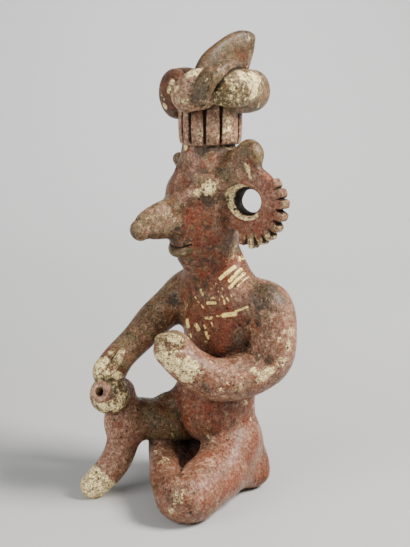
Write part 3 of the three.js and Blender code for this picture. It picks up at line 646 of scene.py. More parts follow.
def ear_distance(points):
    """Ear plate and its teeth: a disc thinner at its edge, and a rounded peg at each tooth's angle."""
    out, up, forward = on_ear(points)
    r = np.hypot(out, up)
    edge, middle = ramp(r, 14, 24), forward + EAR_THICK / 2
    half = (EAR_THICK - 3.5 * edge) / 2
    disc = rounded_box((r, EAR_RADIUS - 0.5), (middle - 0.6 * edge, half), round_by=2.2)
    below = np.degrees(np.arctan2(-up, out))
    angles, reaches = np.array(TEETH, np.float32).T
    tooth = np.argmin(np.abs(below[:, None] - angles), axis=1)
    away = np.radians(below - angles[tooth])
    reach = reaches[tooth]
    along, across = r * np.cos(away), r * np.sin(away)
    width = 3.3 - 0.8 * ramp(along, 22, 28)
    peg = rounded_box((across, width), (along - reach + 8, 8.0), (middle - 0.2, 3.9), round_by=1.5)
    rim = np.hypot(hole_reach(out, up) - 12.6, forward + 0.1) - 1.1
    return smooth_min(smooth_min(disc, peg, 1.0), rim, 1.8)


def bore_distance(points):
    """Distance outside the ear's hole, a throat whose radius follows its depth and flares in front."""
    out, up, forward = on_ear(points)
    depths, radii = np.array(BORE).T
    return 0.8 * (hole_reach(out, up) - np.interp(forward, depths, radii))


def drum_distance(points):
    """The fluted drum: radius by height, swollen between grooves by 1 - |place|^4, less a bell-shaped cut at
    each groove, 2.3 x exp(-(gap / width)^2), whose width grows towards the top."""
    x, y, z = (points - DRUM_AT).T
    r, angle = np.hypot(x, y), np.degrees(np.arctan2(x, -y))
    marks = np.sort(np.asarray(DRUM_GROOVES, float) % 360)
    marks = np.concatenate([[marks[-1] - 360], marks, [marks[0] + 360]])
    angle = angle % 360
    after = np.clip(np.searchsorted(marks, angle), 1, len(marks) - 1)
    low, high = marks[after - 1], marks[after]
    place = np.abs(2 * (angle - low) / (high - low) - 1)
    heights, radii = np.array(DRUM_SIDE).T
    gap = np.radians(np.minimum(angle - low, high - angle)) * radii[0]
    cut = 2.3 * np.exp(-((gap / (0.6 + 0.5 * ramp(z, 14, 26)))**2)) * ramp(z, 0.5, 3)
    side = r - np.interp(z, heights, radii) - 0.5 + 1.1 * place**4 + cut
    return -smooth_min(-side, -np.maximum(0.4 - z, z - DRUM_HEIGHT), 1.5)


def crest_outline():
    """The crest's outline: points along its cubic curves, closed under its foot."""
    t = np.linspace(0, 1, 9)[:-1, None]
    spans = [
        np.asarray(a) * (1 - t)**3 + 3 * np.asarray(b) * t * (1 - t)**2 + 3 * np.asarray(c) * t**2 * (1 - t)
        + np.asarray(d) * t**3 for a, b, c, d in CREST_CURVES
    ]
    return np.vstack(spans + [[[20, 0]]]) + np.array(CREST_FOOT)


def crest_distance(points):
    """Signed distance to the crest's outline in the figure's middle plane, joined with its thickness."""
    p = points[:, 1:3].astype(np.float32)
    line = crest_outline().astype(np.float32)
    nearest = np.full(len(p), 1e9, np.float32)
    inside = np.zeros(len(p), bool)
    for a, b in zip(line, np.roll(line, -1, axis=0)):
        side, d = b - a, p - a
        h = np.clip((d @ side) / (side @ side), 0, 1)
        nearest = np.minimum(nearest, ((d - h[:, None] * side)**2).sum(1))
        crosses = (a[1] > p[:, 1]) != (b[1] > p[:, 1])
        with np.errstate(divide="ignore", invalid="ignore"):
            at = a[0] + (p[:, 1] - a[1]) * side[0] / side[1]
        inside ^= crosses & (p[:, 0] < at)
    flat = np.where(inside, -1, 1) * np.sqrt(nearest)
    thick = np.abs(points[:, 0]) - CREST_HALF * (1 - 0.25 * ramp(flat, -9, 0))
    return -smooth_min(-flat, -thick, 4.0)


def turban_stations(stations):
    """Stations given around the headdress, as x = R sin(angle), y = -R cos(angle) from its axis."""
    angle, radius, z, radial, upright = np.asarray(stations, float).T
    turn = np.radians(angle)
    x, y = TURBAN_AT[0] + radius * np.sin(turn), TURBAN_AT[1] - radius * np.cos(turn)
    return np.stack([x, y, z, radial, upright], axis=1)


def unevenness(points):
    """The hand-built surface: crossed sine waves 45 and 17 mm long, a few tenths of a millimetre high."""
    x, y, z = points.T
    wide = np.sin(x / 7.1 + 1.3) * np.sin(y / 6.3 + z / 11.0)
    wide = wide + np.sin(z / 8.7 + x / 12.0 + 0.5) * np.sin(y / 9.1)
    fine = np.sin(x / 2.9 + z / 4.1) * np.sin(y / 3.1 - z / 3.7 + 2.0)
    return 0.28 * wide + 0.09 * fine


def clay_layers():
    """The clay in the order it is put on: box, fillet, whether it is cut away, and its distance function."""
    layers = []

    def put(name, box, blend, distance, cut=False):
        low, high = (np.asarray(corner, np.float32) for corner in box)
        layers.append((low, high, blend, cut, distance, name))

    def roll(name, stations, front, blend, blunt=1.0, turned=False, cut=False, mirrored=False, power=2.0):
        path = roll_path(stations, front)
        reach = path[4].max(1, keepdims=True) + MARGIN
        low, high = (path[0] - reach).min(0), (path[0] + reach).max(0)
        if turned:
            low, high = low - [9, 9, 0], high + [9, 9, 0]
        if mirrored:
            low[0], high[0] = -max(abs(low[0]), abs(high[0])), max(abs(low[0]), abs(high[0]))

        def distance(points):
            points = to_head(points) if turned else points
            return roll_distance(to_left(points) if mirrored else points, path, blunt, power)

        put(name, (low, high), blend, distance, cut)

    def ball(name, centre, radii, blend):
        put(name, (centre - 32, centre + 32), blend, lambda p: ball_distance(p, centre, radii))

    roll("body", TORSO, (0, -1, 0), 6, blunt=0.6)
    roll("left leg", LEFT_LEG, (0, 0, 1), 5)
    roll("left leg", LEFT_HIP, (0, 0, 1), 9)
    ball("body", RIGHT_HIP, RIGHT_HIP_RADII, 5)
    roll("right thigh", RIGHT_THIGH, (0, 0, 1),
         lambda p: 5.0 + 19.0 * ramp(p[:, 2], 50, 64) * ramp(p[:, 1], -46, -30))
    ball("body", BELLY, BELLY_RADII,
         lambda p: 1.2 + 9.8 * np.maximum(ramp(p[:, 2], 70, 80), ramp(p[:, 0], 4, 16)))
    roll("right shin", RIGHT_SHIN, (1, 0, 0), lambda p: 3.0 + 6.0 * ramp(p[:, 2], 62, 50))
    roll("left arm", LEFT_ARM, (-0.83, 0.55, 0), lambda p: 2.0 + 9.0 * ramp(p[:, 2], 104, 122))
    roll("right arm", RIGHT_ARM, (1, 0, 0), lambda p: 1.5 + 7.5 * ramp(p[:, 2], 90, 110))
    ball("fist", FIST, FIST_RADII, 1.2)
    mouth = FIST + KNOB_WAY * RING_RISE

    def along_mouth(points):
        d = points - mouth
        depth = d @ KNOB_WAY
        return depth, np.linalg.norm(d - depth[:, None] * KNOB_WAY, axis=1)

    def ring(points):
        depth, r = along_mouth(points)
        sideways, forward = np.abs(r - RING_RADIUS) - 0.6, np.abs(depth) - 0.8
        return np.hypot(np.maximum(sideways, 0), np.maximum(forward, 0)) - 1.7

    def vent(points):
        depth, r = along_mouth(points)
        return np.maximum(r - VENT_RADIUS - 0.5 * ramp(depth, -1.5, 2.5), -VENT_DEPTH - depth)

    put("ring", (mouth - 16, mouth + 16), 1.2, ring)
    put("vent", (mouth - 14, mouth + 14), 1.0, vent, cut=True)
    roll("thumb crease", THUMB_CREASE, (1, 0, 0), 1.2, cut=True)
    roll("thumb", RIGHT_THUMB, (1, 0, 0), 1.2)
    roll("pad", PAD, (0, 0, 1), 2.5)
    roll("pad crease", PAD_CREASE, (0, 0, 1), 2.2, cut=True)
    roll("thumb fold", THUMB_FOLD, (0, 0, 1), 2.0, cut=True)

    roll("head", HEAD, (0, -1, 0), 7, blunt=0.6, turned=True)
    roll("nose", NOSE, (0, 0, 1), 7, turned=True)
    roll("head", BROW, (0, -1, 0), 7, turned=True, mirrored=True)
    put("eye", ((-46, -55, 177), (46, -11, 219)), 5,
        lambda p: ball_distance(to_left(to_head(p)), EYE, EYE_RADII), cut=True)
    ear_low, ear_high = (-75, -35, 164), (75, 25, 238)
    put("ear", (ear_low, ear_high), 5, lambda p: ear_distance(to_head(p)))
    roll("near lump", NEAR_LUMP, (0, -1, 0), 6, turned=True)
    roll("far lump", FAR_LUMP, (0, -1, 0), 4, turned=True)
    put("ear bore", (ear_low, ear_high), 1.0, lambda p: bore_distance(to_head(p)), cut=True)
    roll("under lip", UNDER_LIP, (0, 0, 1), 2.5, turned=True, cut=True)
    roll("upper lip", UPPER_LIP, (0, 0, 1), 1.4, turned=True)
    roll("lower lip", LOWER_LIP, (0, 0, 1), 1.2, turned=True)
    roll("mouth", MOUTH, (0, 0, 1), 0.4, turned=True, cut=True)

    put("drum", (DRUM_AT - [32, 32, 10], DRUM_AT + [32, 32, 42]), 0.8, drum_distance)
    for name in ("back roll", "red roll", "under roll", "pale roll", "yellow roll"):
        roll(name, turban_stations(TURBAN[name]), (0, 0, 1), 0.9)
    put("crest", (np.array([-16, -40, 255]), np.array([16, 42, 315])), 1.5, crest_distance)
    roll("strap", turban_stations(STRAP), (0.95, 0.3, 0), 0.7, power=3.0)
    return layers


LAYERS = clay_layers()


def clay(points):
    """Distance outside the whole figure: its layers joined or cut with fillets, and the hand-built
    unevenness added, then cut flat at z = 0."""
    points = np.asarray(points, np.float32)
    field = np.full(len(points), MARGIN, np.float32)
    for low, high, blend, cut, distance, _ in LAYERS:
        index = np.flatnonzero(np.all((points > low) & (points < high), axis=1))
        if len(index) == 0:
            continue
        here = points[index]
        k = blend(here) if callable(blend) else blend
        value = distance(here)
        field[index] = -smooth_min(-field[index], value, k) if cut else smooth_min(field[index], value, k)
    return np.maximum(field + unevenness(points), -points[:, 2])


def sampled(low, high, step, coarse=4):
    """The clay's distance on a grid: worked out at every fourth node, then at all nodes near the surface."""
    cells = np.ceil((np.asarray(high) - low) / (step * coarse)).astype(int)
    axes = [low[i] + np.arange(cells[i] + 1) * step * coarse for i in range(3)]
    nodes = np.stack(np.meshgrid(*axes, indexing="ij"), axis=-1).reshape(-1, 3)
    rough = clay(nodes).reshape(cells + 1)
    corners = [
        rough[tuple(slice(at, count + at) for at, count in zip(shift, cells))]
        for shift in np.ndindex(2, 2, 2)
    ]
    close = np.min(np.abs(corners), axis=0) < 1.35 * step * coarse
    field = rough[:-1, :-1, :-1]
    for axis in range(3):
        field = np.repeat(field, coarse, axis=axis)
        close = np.repeat(close, coarse, axis=axis)
    index = np.argwhere(close)
    field[tuple(index.T)] = clay(index * step + low)
    return field


def skin(field, low, step):
    """Surface nets: a vertex in each cell that the surface crosses, at the mean of its edges' crossings,
    and a four-sided face around each crossed edge."""
    inside = field < 0
    strides = np.array([field.shape[1] * field.shape[2], field.shape[2], 1])
    spots, cells, flips = [], [], []
    for axis in range(3):
        here = [slice(None)] * 3
        there = [slice(None)] * 3
        here[axis], there[axis] = slice(None, -1), slice(1, None)
        node = np.argwhere(inside[tuple(here)] != inside[tuple(there)])
        step_on, u, v = np.roll(np.eye(3, dtype=int), -axis, axis=0)
        a, b = field[tuple(node.T)], field[tuple((node + step_on).T)]
        spots.append(node + (a / (a - b))[:, None] * step_on)
        around = (node, node - u, node - u - v, node - v)
        cells.append(np.stack([corner @ strides for corner in around], axis=1))
        flips.append(a > 0)
    spots, cells, flips = np.vstack(spots), np.vstack(cells), np.concatenate(flips)
    _, quads = np.unique(cells.ravel(), return_inverse=True)
    count = np.bincount(quads)
    points = np.stack([np.bincount(quads, np.repeat(spots[:, i], 4)) / count for i in range(3)], axis=1)
    quads = quads.reshape(-1, 4)
    quads[flips] = quads[flips, ::-1]
    return points * step + low, quads


def slope(points, at=0.25):
    """The clay's distance at each point and its gradient, from a difference of a quarter of a millimetre."""
    value = clay(points)
    change = [clay(points + np.eye(3)[i] * at) - value for i in range(3)]
    return value, np.stack(change, axis=1) / at


def settled(points, turns=2):
    """Points drawn onto the surface: each turn takes off distance x gradient / gradient squared."""
    for _ in range(turns):
        value, gradient = slope(points)
        move = value / np.maximum((gradient**2).sum(1), 0.3)
        points = points - np.clip(move, -0.5, 0.5)[:, None] * gradient
    return points


def clouds(points, size, seed):
    """Soft random patches from -1 to 1: 2.4 x the mean of twelve sine waves of about a size."""
    random = np.random.default_rng(seed)
    ways = unit(random.normal(size=(12, 3))) * random.uniform(0.6, 1.7, (12, 1)) * 2 * math.pi / size
    return 2.4 * np.sin(points @ ways.T + random.uniform(0, 2 * math.pi, 12)).mean(1)


def belonging(points):
    """How far each part owns a point: 0.5 + (the nearest other part's distance - its own) / 1.2, kept
    within 0..1."""
    nearest = {}
    for low, high, _, cut, distance, name in LAYERS:
        if cut:
            continue
        away = np.full(len(points), MARGIN)
        index = np.flatnonzero(np.all((points > low) & (points < high), axis=1))
        if len(index):
            away[index] = distance(points[index].astype(np.float32))
        nearest[name] = np.minimum(nearest.get(name, MARGIN), away)
    table = np.stack(list(nearest.values()))
    closest, (first, second) = table.argmin(0), np.sort(table, axis=0)[:2]
    return {
        name: np.clip(0.5 + (np.where(closest == i, second, first) - table[i]) / 1.2, 0, 1)
        for i, name in enumerate(nearest)
    }


def coat_amount(points, coat, owned, wander):
    """How thick a coat lies: the most of its parts' amounts and its patches' strengths, each patch fading out
    with its distance / radius, where the distance is measured from points that wander a little. The length
    of a coat's or a part's name is the seed of its clouds."""
    seed = len(coat)
    amount = BARE[coat] + 0.18 * clouds(points, 34, seed) + 0.12 * clouds(points, 13, seed + 20)
    for part, coats in PART_COATS.items():
        if coat in coats:
            amount = np.maximum(amount, (coats[coat] + 0.14 * clouds(points, 16, len(part))) * owned[part])
    for part, patches in COATS[coat].items():
        most = np.zeros(len(points))
        for *place, radius, strength in patches:
            moved = points + wander * min(radius, 8) * 0.4
            distance = np.linalg.norm(moved - place, axis=1) / radius
            most = np.maximum(most, strength * (1 - ramp(distance, 0.35, 1.4)))
        amount = np.maximum(amount, most * owned.get(part, 1))
    return np.clip(amount, 0, 1)


def ear_marks(points):
    """How far each point is on the ear hole's pale rim, on a tooth, on a tooth's paler lower share and in the
    hole's throat, which is painted dark as shade. Each is a product of ramps over the offsets from the hole."""
    out, up, forward = on_ear(to_head(points))
    reach, below = hole_reach(out, up), np.degrees(np.arctan2(-up, out))
    near = (np.abs(points[:, 0]) > EARS_FROM) & (points[:, 2] > EARS_LOW) & (points[:, 2] < EARS_HIGH)
    rim = near * ramp(reach, 13.9, 13.2) * ramp(forward, -2.6, -1.4) * ramp(out + 0.7 * up, 12, 0)
    teeth = near * ramp(np.hypot(out, up), 22, 25) * ramp(below, -42, -34) * ramp(below, 104, 94)
    throat = near * ramp(reach, 14, 12.5) * ramp(forward, -1.4, -2.4)
    return rim, teeth, teeth * (0.1 + 0.35 * ramp(below, 0, 50)), throat


def hollowness(points, out):
    """How deep a point lies in a crease, which sets the shade and dirt painted there: the larger of 1 - d(3)
    / 3 and 1.2 - d(1.2), where d(t) is the clay's distance t millimetres out from the point. It is less in
    the lighter creases."""
    wide = 1 - clay(points + out * 3.0) / 3.0
    narrow = 1.2 - 1.2 * clay(points + out * 1.2) / 1.2
    deep = np.clip(np.maximum(wide, narrow), 0, 1)
    for place, radius, share in LIGHTER_CREASES:
        deep *= share + (1 - share) * ramp(np.linalg.norm(points - place, axis=1), 0.7 * radius, radius)
    return deep


def surface_values(points):
    """Every value that the finish reads: the coats, with the slip of the foot, ears and strap's edge and the
    soot painted as shade in the ear's throat, the hollows whose shade and dirt are painted, and the proud
    edges as 1 + d / 2.5, where d is the clay's distance 2.5 millimetres inwards."""
    out = unit(slope(points)[1])
    owned = belonging(points)
    wander = np.stack([clouds(points, 11, 40 + i) for i in range(3)], axis=1)
    values = {coat: coat_amount(points, coat, owned, wander) for coat in COATS}
    foot = ramp(points @ FOOT_WAY, FOOT_LINE - 0.4, FOOT_LINE + 0.6)
    foot = foot * (points[:, 2] < FOOT_BELOW) * (points[:, 0] < FOOT_RIGHT)
    rim, teeth, pale_teeth, throat = ear_marks(points)
    strap_edge = owned["strap"] * ramp(np.abs(0.5 - owned["strap"]), 0.5, 0.2)
    slip = np.maximum.reduce([values[CREAM], 0.72 * foot, rim, pale_teeth])
    values[CREAM] = np.maximum(slip * (1 - throat), strap_edge * 0.7)
    values[OLIVE] = np.maximum(values[OLIVE], teeth * 0.55)
    # The ear's throat is painted dark with soot and with the creases' shade colour: painted shade.
    values[SOOT] = np.maximum(values[SOOT], throat)
    values["hollow"] = np.maximum(hollowness(points, out), throat)
    values["proud"] = np.clip(1 + clay(points - out * 2.5) / 2.5, 0, 1)
    return values


def clay_mesh(name, step, most):
    """The figure's mesh in metres, thinned to a number of triangles, with the finish's values on its
    points."""
    points, quads = skin(sampled(SAMPLED_LOW, SAMPLED_HIGH, step), SAMPLED_LOW, step)
    points = settled(points)
    mesh = bpy.data.meshes.new(name)
    mesh.from_pydata(((points - MIDDLE) / 1000).tolist(), [], quads.tolist())
    piece = bpy.data.objects.new(name, mesh)
    bpy.context.scene.collection.objects.link(piece)
    if 2 * len(quads) > most:
        thin = piece.modifiers.new("Thin", "DECIMATE")
        thin.ratio = most / (2 * len(quads))
        shown = piece.evaluated_get(bpy.context.evaluated_depsgraph_get())
        thinned = bpy.data.meshes.new_from_object(shown)
        piece.modifiers.clear()
        piece.data = thinned
        bpy.data.meshes.remove(mesh)
        mesh = thinned
    mesh.name = name
    place = np.empty(len(mesh.vertices) * 3, np.float32)
    mesh.vertices.foreach_get("co", place)
    for key, value in surface_values(place.reshape(-1, 3) * 1000 + MIDDLE).items():
        mesh.attributes.new(key, "FLOAT", "POINT").data.foreach_set("value", value.astype(np.float32))
    mesh.shade_smooth()
    return piece


def linear(code):
    """A screen colour such as 9a5a46 as scene-linear red, green, blue and alpha."""
    parts = [int(code[i:i + 2], 16) / 255 for i in (0, 2, 4)]
    return tuple(p / 12.92 if p <= 0.04045 else ((p + 0.055) / 1.055)**2.4 for p in parts) + (1.0,)


def add(tree, kind, inputs=(), **settings):
    """A node with its settings, and its inputs set to numbers or linked to other nodes' outputs."""
    made = tree.nodes.new(kind)
    for key, value in settings.items():
        setattr(made, key, value)
    for key, value in dict(inputs).items():
        if isinstance(value, bpy.types.NodeSocket):
            tree.links.new(value, made.inputs[key])
        else:
            made.inputs[key].default_value = value
    return made


def maths(tree, operation, *values, clamp=False):
    """A Math node's result."""
    return add(tree, "ShaderNodeMath", enumerate(values), operation=operation, use_clamp=clamp).outputs[0]


def vectors(tree, operation, *values, output=0):
    """A Vector Math node's result."""
    return add(tree, "ShaderNodeVectorMath", enumerate(values), operation=operation).outputs[output]


def scaled(tree, vector, by):
    """A vector times a number."""
    return add(tree, "ShaderNodeVectorMath", {0: vector, "Scale": by}, operation="SCALE").outputs[0]


def noise(tree, place, scale, detail, roughness=0.5, output=0):
    """Noise from 0 to 1 at a place, as its number or its colour."""
    inputs = {"Vector": place, "Scale": scale, "Detail": detail, "Roughness": roughness}
    return add(tree, "ShaderNodeTexNoise", inputs).outputs[output]


def object_place(tree):
    """The point on the object, in metres."""
    return add(tree, "ShaderNodeTexCoord").outputs["Object"]


def new_group(name, inputs, outputs):
    """A shader node group with number sockets, or vector sockets where the default has three parts."""
    group = bpy.data.node_groups.new(name, "ShaderNodeTree")
    for label, default in inputs:
        kind = "NodeSocketFloat" if isinstance(default, (int, float)) else "NodeSocketVector"
        group.interface.new_socket(label, in_out="INPUT", socket_type=kind).default_value = default
    for label in outputs:
        group.interface.new_socket(label, in_out="OUTPUT", socket_type="NodeSocketFloat")
    return group, group.nodes.new("NodeGroupInput"), group.nodes.new("NodeGroupOutput")


def mottle_group():
    """Mottle: (noise - 0.5) x contrast + level, within 0..1."""
    group, given, result = new_group("Mottle", [
        ("Scale", 200.0), ("Contrast", 5.0), ("Level", 0.5), ("Shift", (0.0, 0.0, 0.0)),
    ], ["Mask"])
    place = vectors(group, "ADD", object_place(group), given.outputs["Shift"])
    grains = noise(group, place, given.outputs["Scale"], detail=4.0, roughness=0.8)
    swing = maths(group, "MULTIPLY", maths(group, "SUBTRACT", grains, 0.5), given.outputs["Contrast"])
    group.links.new(maths(group, "ADD", swing, given.outputs["Level"], clamp=True), result.inputs["Mask"])
    return group


def patchy_group():
    """Patchy coat: (amount + (noise - 0.5) x breakup - 0.5) / softness + 0.5, so it wears through in
    flecks."""
    group, given, result = new_group("Patchy coat", [
        ("Amount", 0.5), ("Scale", 200.0), ("Breakup", 2.0), ("Softness", 0.3), ("Shift", (0.0, 0.0, 0.0)),
    ], ["Mask"])
    place = vectors(group, "ADD", object_place(group), given.outputs["Shift"])
    grains = noise(group, place, given.outputs["Scale"], detail=6.0, roughness=0.82)
    swing = maths(group, "MULTIPLY", maths(group, "SUBTRACT", grains, 0.5), given.outputs["Breakup"])
    level = maths(group, "SUBTRACT", maths(group, "ADD", given.outputs["Amount"], swing), 0.5)
    mask = maths(group, "ADD", maths(group, "DIVIDE", level, given.outputs["Softness"]), 0.5, clamp=True)
    group.links.new(mask, result.inputs["Mask"])
    return group


def speckle_group():
    """Speckle: dots at a Voronoi pattern's points, kept where the cell's random number is below density."""
    group, given, result = new_group("Speckle", [
        ("Scale", 500.0), ("Size", 0.25), ("Density", 0.3),
    ], ["Mask"])
    place = object_place(group)
    warp = noise(group, place, 1100.0, detail=2.0, output="Color")
    moved = vectors(group, "MULTIPLY_ADD", warp, (0.0012,) * 3, place)
    cells = add(group, "ShaderNodeTexVoronoi", {"Vector": moved, "Scale": given.outputs["Scale"]})
    chance = add(group, "ShaderNodeSeparateColor", {"Color": cells.outputs["Color"]})
    size = maths(group, "MULTIPLY", given.outputs["Size"], maths(group, "ADD", 0.4, chance.outputs[1]))
    dot = maths(group, "DIVIDE", maths(group, "SUBTRACT", size, cells.outputs["Distance"]), 0.12, clamp=True)
    kept = maths(group, "LESS_THAN", chance.outputs[0], given.outputs["Density"])
    group.links.new(maths(group, "MULTIPLY", dot, kept), result.inputs["Mask"])
    return group


def stroke_group():
    """Brush stroke: half width less the distance to the line from start to end, seen along the facing way
    and made ragged by noise. It is on the near side only, and worn off where noise is above its wholeness."""
    group, given, result = new_group("Brush stroke", [
        ("Start", (0.0, 0.0, 0.0)), ("End", (0.0, 0.0, 0.0)), ("Facing", NECKLACE_WAY),
        ("Half width", 1.0), ("Whole", 0.8),
    ], ["Mask"])
    place = object_place(group)
    here = vectors(group, "ADD", scaled(group, place, 1000.0), tuple(MIDDLE))
    facing, start = given.outputs["Facing"], given.outputs["Start"]

    def dot(a, b):
        return vectors(group, "DOT_PRODUCT", a, b, output=1)

    def flat(vector):
        depth = dot(vector, facing)
        return vectors(group, "SUBTRACT", vector, scaled(group, facing, depth)), depth

    away, depth = flat(vectors(group, "SUBTRACT", here, start))
    line, _ = flat(vectors(group, "SUBTRACT", given.outputs["End"], start))
    along = scaled(group, line, maths(group, "DIVIDE", dot(away, line), dot(line, line), clamp=True))
    distance = vectors(group, "LENGTH", vectors(group, "SUBTRACT", away, along), output=1)
    grains = noise(group, place, 1100.0, detail=3.0, roughness=0.7)
    ragged = maths(group, "MULTIPLY", maths(group, "SUBTRACT", grains, 0.5), 1.2)
    inside = maths(group, "SUBTRACT", given.outputs["Half width"], maths(group, "ADD", distance, ragged))
    mask = maths(group, "DIVIDE", inside, 0.35, clamp=True)
    near = maths(group, "LESS_THAN", maths(group, "ABSOLUTE", depth), 9.0)
    whole = maths(group, "MULTIPLY_ADD", given.outputs["Whole"], 0.5, 0.22)
    wear = noise(group, place, 620.0, detail=4.0, roughness=0.75)
    left = maths(group, "DIVIDE", maths(group, "SUBTRACT", whole, wear), 0.07, clamp=True)
    painted = maths(group, "MULTIPLY", mask, near)
    group.links.new(maths(group, "MULTIPLY", painted, left), result.inputs["Mask"])
    return group


def use(tree, group, **inputs):
    """A group placed in a material with its own values."""
    named = {key.replace("_", " "): value for key, value in inputs.items()}
    return add(tree, "ShaderNodeGroup", named, node_tree=group).outputs[0]


def mixed(tree, mask, under, over):
    """The colour over where the mask is 1 and under where it is 0."""
    node = add(tree, "ShaderNodeMix", data_type="RGBA")
    for socket, value in ((node.inputs[0], mask), (node.inputs[6], under), (node.inputs[7], over)):
        if isinstance(value, bpy.types.NodeSocket):
            tree.links.new(value, socket)
        else:
            socket.default_value = value
    return node.outputs[2]


def fired_clay_material(colours):
    """Burnished red clay with patches of bloom, olive and bright red, cream slip, soot, pits and paint, with
    shade painted dark into creases, the ear's hole and pits, and a highlight painted light on worn edges.
    """
    material = bpy.data.materials.new("fired clay")
    material.use_nodes = True
    tree = material.node_tree
    shader = tree.nodes["Principled BSDF"]
    mottle, patchy, speckle, stroke = mottle_group(), patchy_group(), speckle_group(), stroke_group()

    def value_of(name):
        return add(tree, "ShaderNodeAttribute", attribute_name=name).outputs["Fac"]

    def tone(scale, contrast, level=0.5, shift=0.0):
        return use(tree, mottle, Scale=scale, Contrast=contrast, Level=level,
                   Shift=(shift, 2 * shift, -shift))

    def spread(amount, scale, breakup, softness, shift=0.0):
        return use(tree, patchy, Amount=amount, Scale=scale, Breakup=breakup, Softness=softness,
                   Shift=(shift, 2 * shift, -shift))

    def times(mask, share):
        return maths(tree, "MULTIPLY", mask, share)

    def line(mask, slope, start, clamp=False):
        return maths(tree, "MULTIPLY_ADD", mask, slope, start, clamp=clamp)

    def either(a, b):
        return maths(tree, "MAXIMUM", a, b)

    cream, soot, olive, red, dust = (value_of(name) for name in (CREAM, SOOT, OLIVE, RED, DUST))
    hollow, proud = value_of("hollow"), value_of("proud")

    # The clay's body and its coats
    kept_red = spread(red, 150.0, breakup=2.2, softness=0.6, shift=0.3)
    patina = spread(olive, 180.0, breakup=2.6, softness=0.6, shift=0.7)
    bloom = spread(dust, 240.0, breakup=2.2, softness=0.8, shift=1.1)
    burnt = spread(soot, 260.0, breakup=2.6, softness=0.6, shift=1.9)
    colour = mixed(tree, tone(75.0, 7.0), colours.body_dark, colours.body)
    coats = [
        (kept_red, colours.red),
        (patina, mixed(tree, tone(180.0, 4.0, level=0.7), colours.olive_dark, colours.olive)),
        (times(bloom, line(kept_red, -0.55, 0.85)),
         mixed(tree, tone(420.0, 5.0, level=0.25, shift=0.4), colours.dust, colours.dust_pale)),
        (times(burnt, 0.85), mixed(tree, tone(380.0, 6.0, level=0.4), colours.soot, colours.soot_grey)),
        (times(tone(850.0, 9.0, level=-0.35, shift=2.3), 0.65), colours.speck),
        (times(tone(1000.0, 9.0, level=-0.7, shift=2.9), line(either(kept_red, burnt), -0.45, 0.6)),
         colours.dust_pale),
    ]

    # The slip, with its stains and the places where it has come off
    slip = spread(line(cream, 1.3, -0.18), 430.0, breakup=3.6, softness=0.3, shift=3.1)
    slip_tone = mixed(tree, tone(300.0, 6.0, level=0.85, shift=3.7), colours.slip_grey, colours.slip)
    stains = times(tone(700.0, 7.0, level=-0.2, shift=4.1), 0.75)
    bare = times(slip, tone(560.0, 20.0, level=-1.1, shift=6.7))
    coats += [
        (slip, mixed(tree, stains, slip_tone, colours.stain)),
        (times(bare, 0.9), colours.olive_dark),
    ]
    coats += [
        (use(tree, stroke, Start=start, End=end, Half_width=half, Whole=whole), colours.paint)
        for start, end, half, whole in NECKLACE
    ]

    # Worn edges with a painted highlight, creases painted dark for their shade and dirt, and pits painted
    # dark the same way
    # Proud edges are lightened for wear and as a painted highlight.
    worn_edges_and_highlight = spread(times(proud, 0.75), 300.0, breakup=2.4, softness=0.4, shift=4.7)
    crease_shade_and_dirt = spread(hollow, 260.0, breakup=1.2, softness=0.6, shift=5.3)
    pits = either(use(tree, speckle, Scale=340.0, Size=0.3, Density=line(slip, 0.35, 0.04)),
                  use(tree, speckle, Scale=700.0, Size=0.38, Density=line(slip, 0.5, 0.1)))
    coats += [
        (times(worn_edges_and_highlight, 0.4), colours.slip_grey),
        (times(crease_shade_and_dirt, 0.9), colours.hollow),
        (times(pits, 0.85), colours.hollow),
    ]
    for mask, over in coats:
        colour = mixed(tree, mask, colour, over)
    shade = line(tone(640.0, 6.0, shift=5.9), 0.7, 0.66)
    shaded = add(tree, "ShaderNodeHueSaturation", {"Color": colour, "Value": shade})
    tree.links.new(shaded.outputs[0], shader.inputs["Base Color"])

    # Gloss of the burnish, dull where slip lies and in the creases painted with shade and dirt
    matt = either(slip, crease_shade_and_dirt)
    rough = line(matt, 0.25, line(tone(420.0, 5.0, shift=6.1), 0.3, 0.24), clamp=True)
    tree.links.new(rough, shader.inputs["Roughness"])
    tree.links.new(line(matt, -0.12, 0.12, clamp=True), shader.inputs["Coat Weight"])
    shader.inputs["Specular IOR Level"].default_value = 0.2
    shader.inputs["Coat Roughness"].default_value = 0.32

    grain = line(tone(800.0, 3.0, shift=2.9), 0.5, times(tone(180.0, 3.0), 0.8))
    height = line(pits, -0.8, line(slip, 0.5, grain))
    bump = add(tree, "ShaderNodeBump", {"Height": height, "Strength": 0.6, "Distance": 0.0004})
    tree.links.new(bump.outputs[0], shader.inputs["Normal"])
    return material


def colour_property(name, description, code):
    """A colour that the user can change, with its default as a screen colour."""
    return bpy.props.FloatVectorProperty(
        name=name, description=description, subtype="COLOR", size=4, default=linear(code))


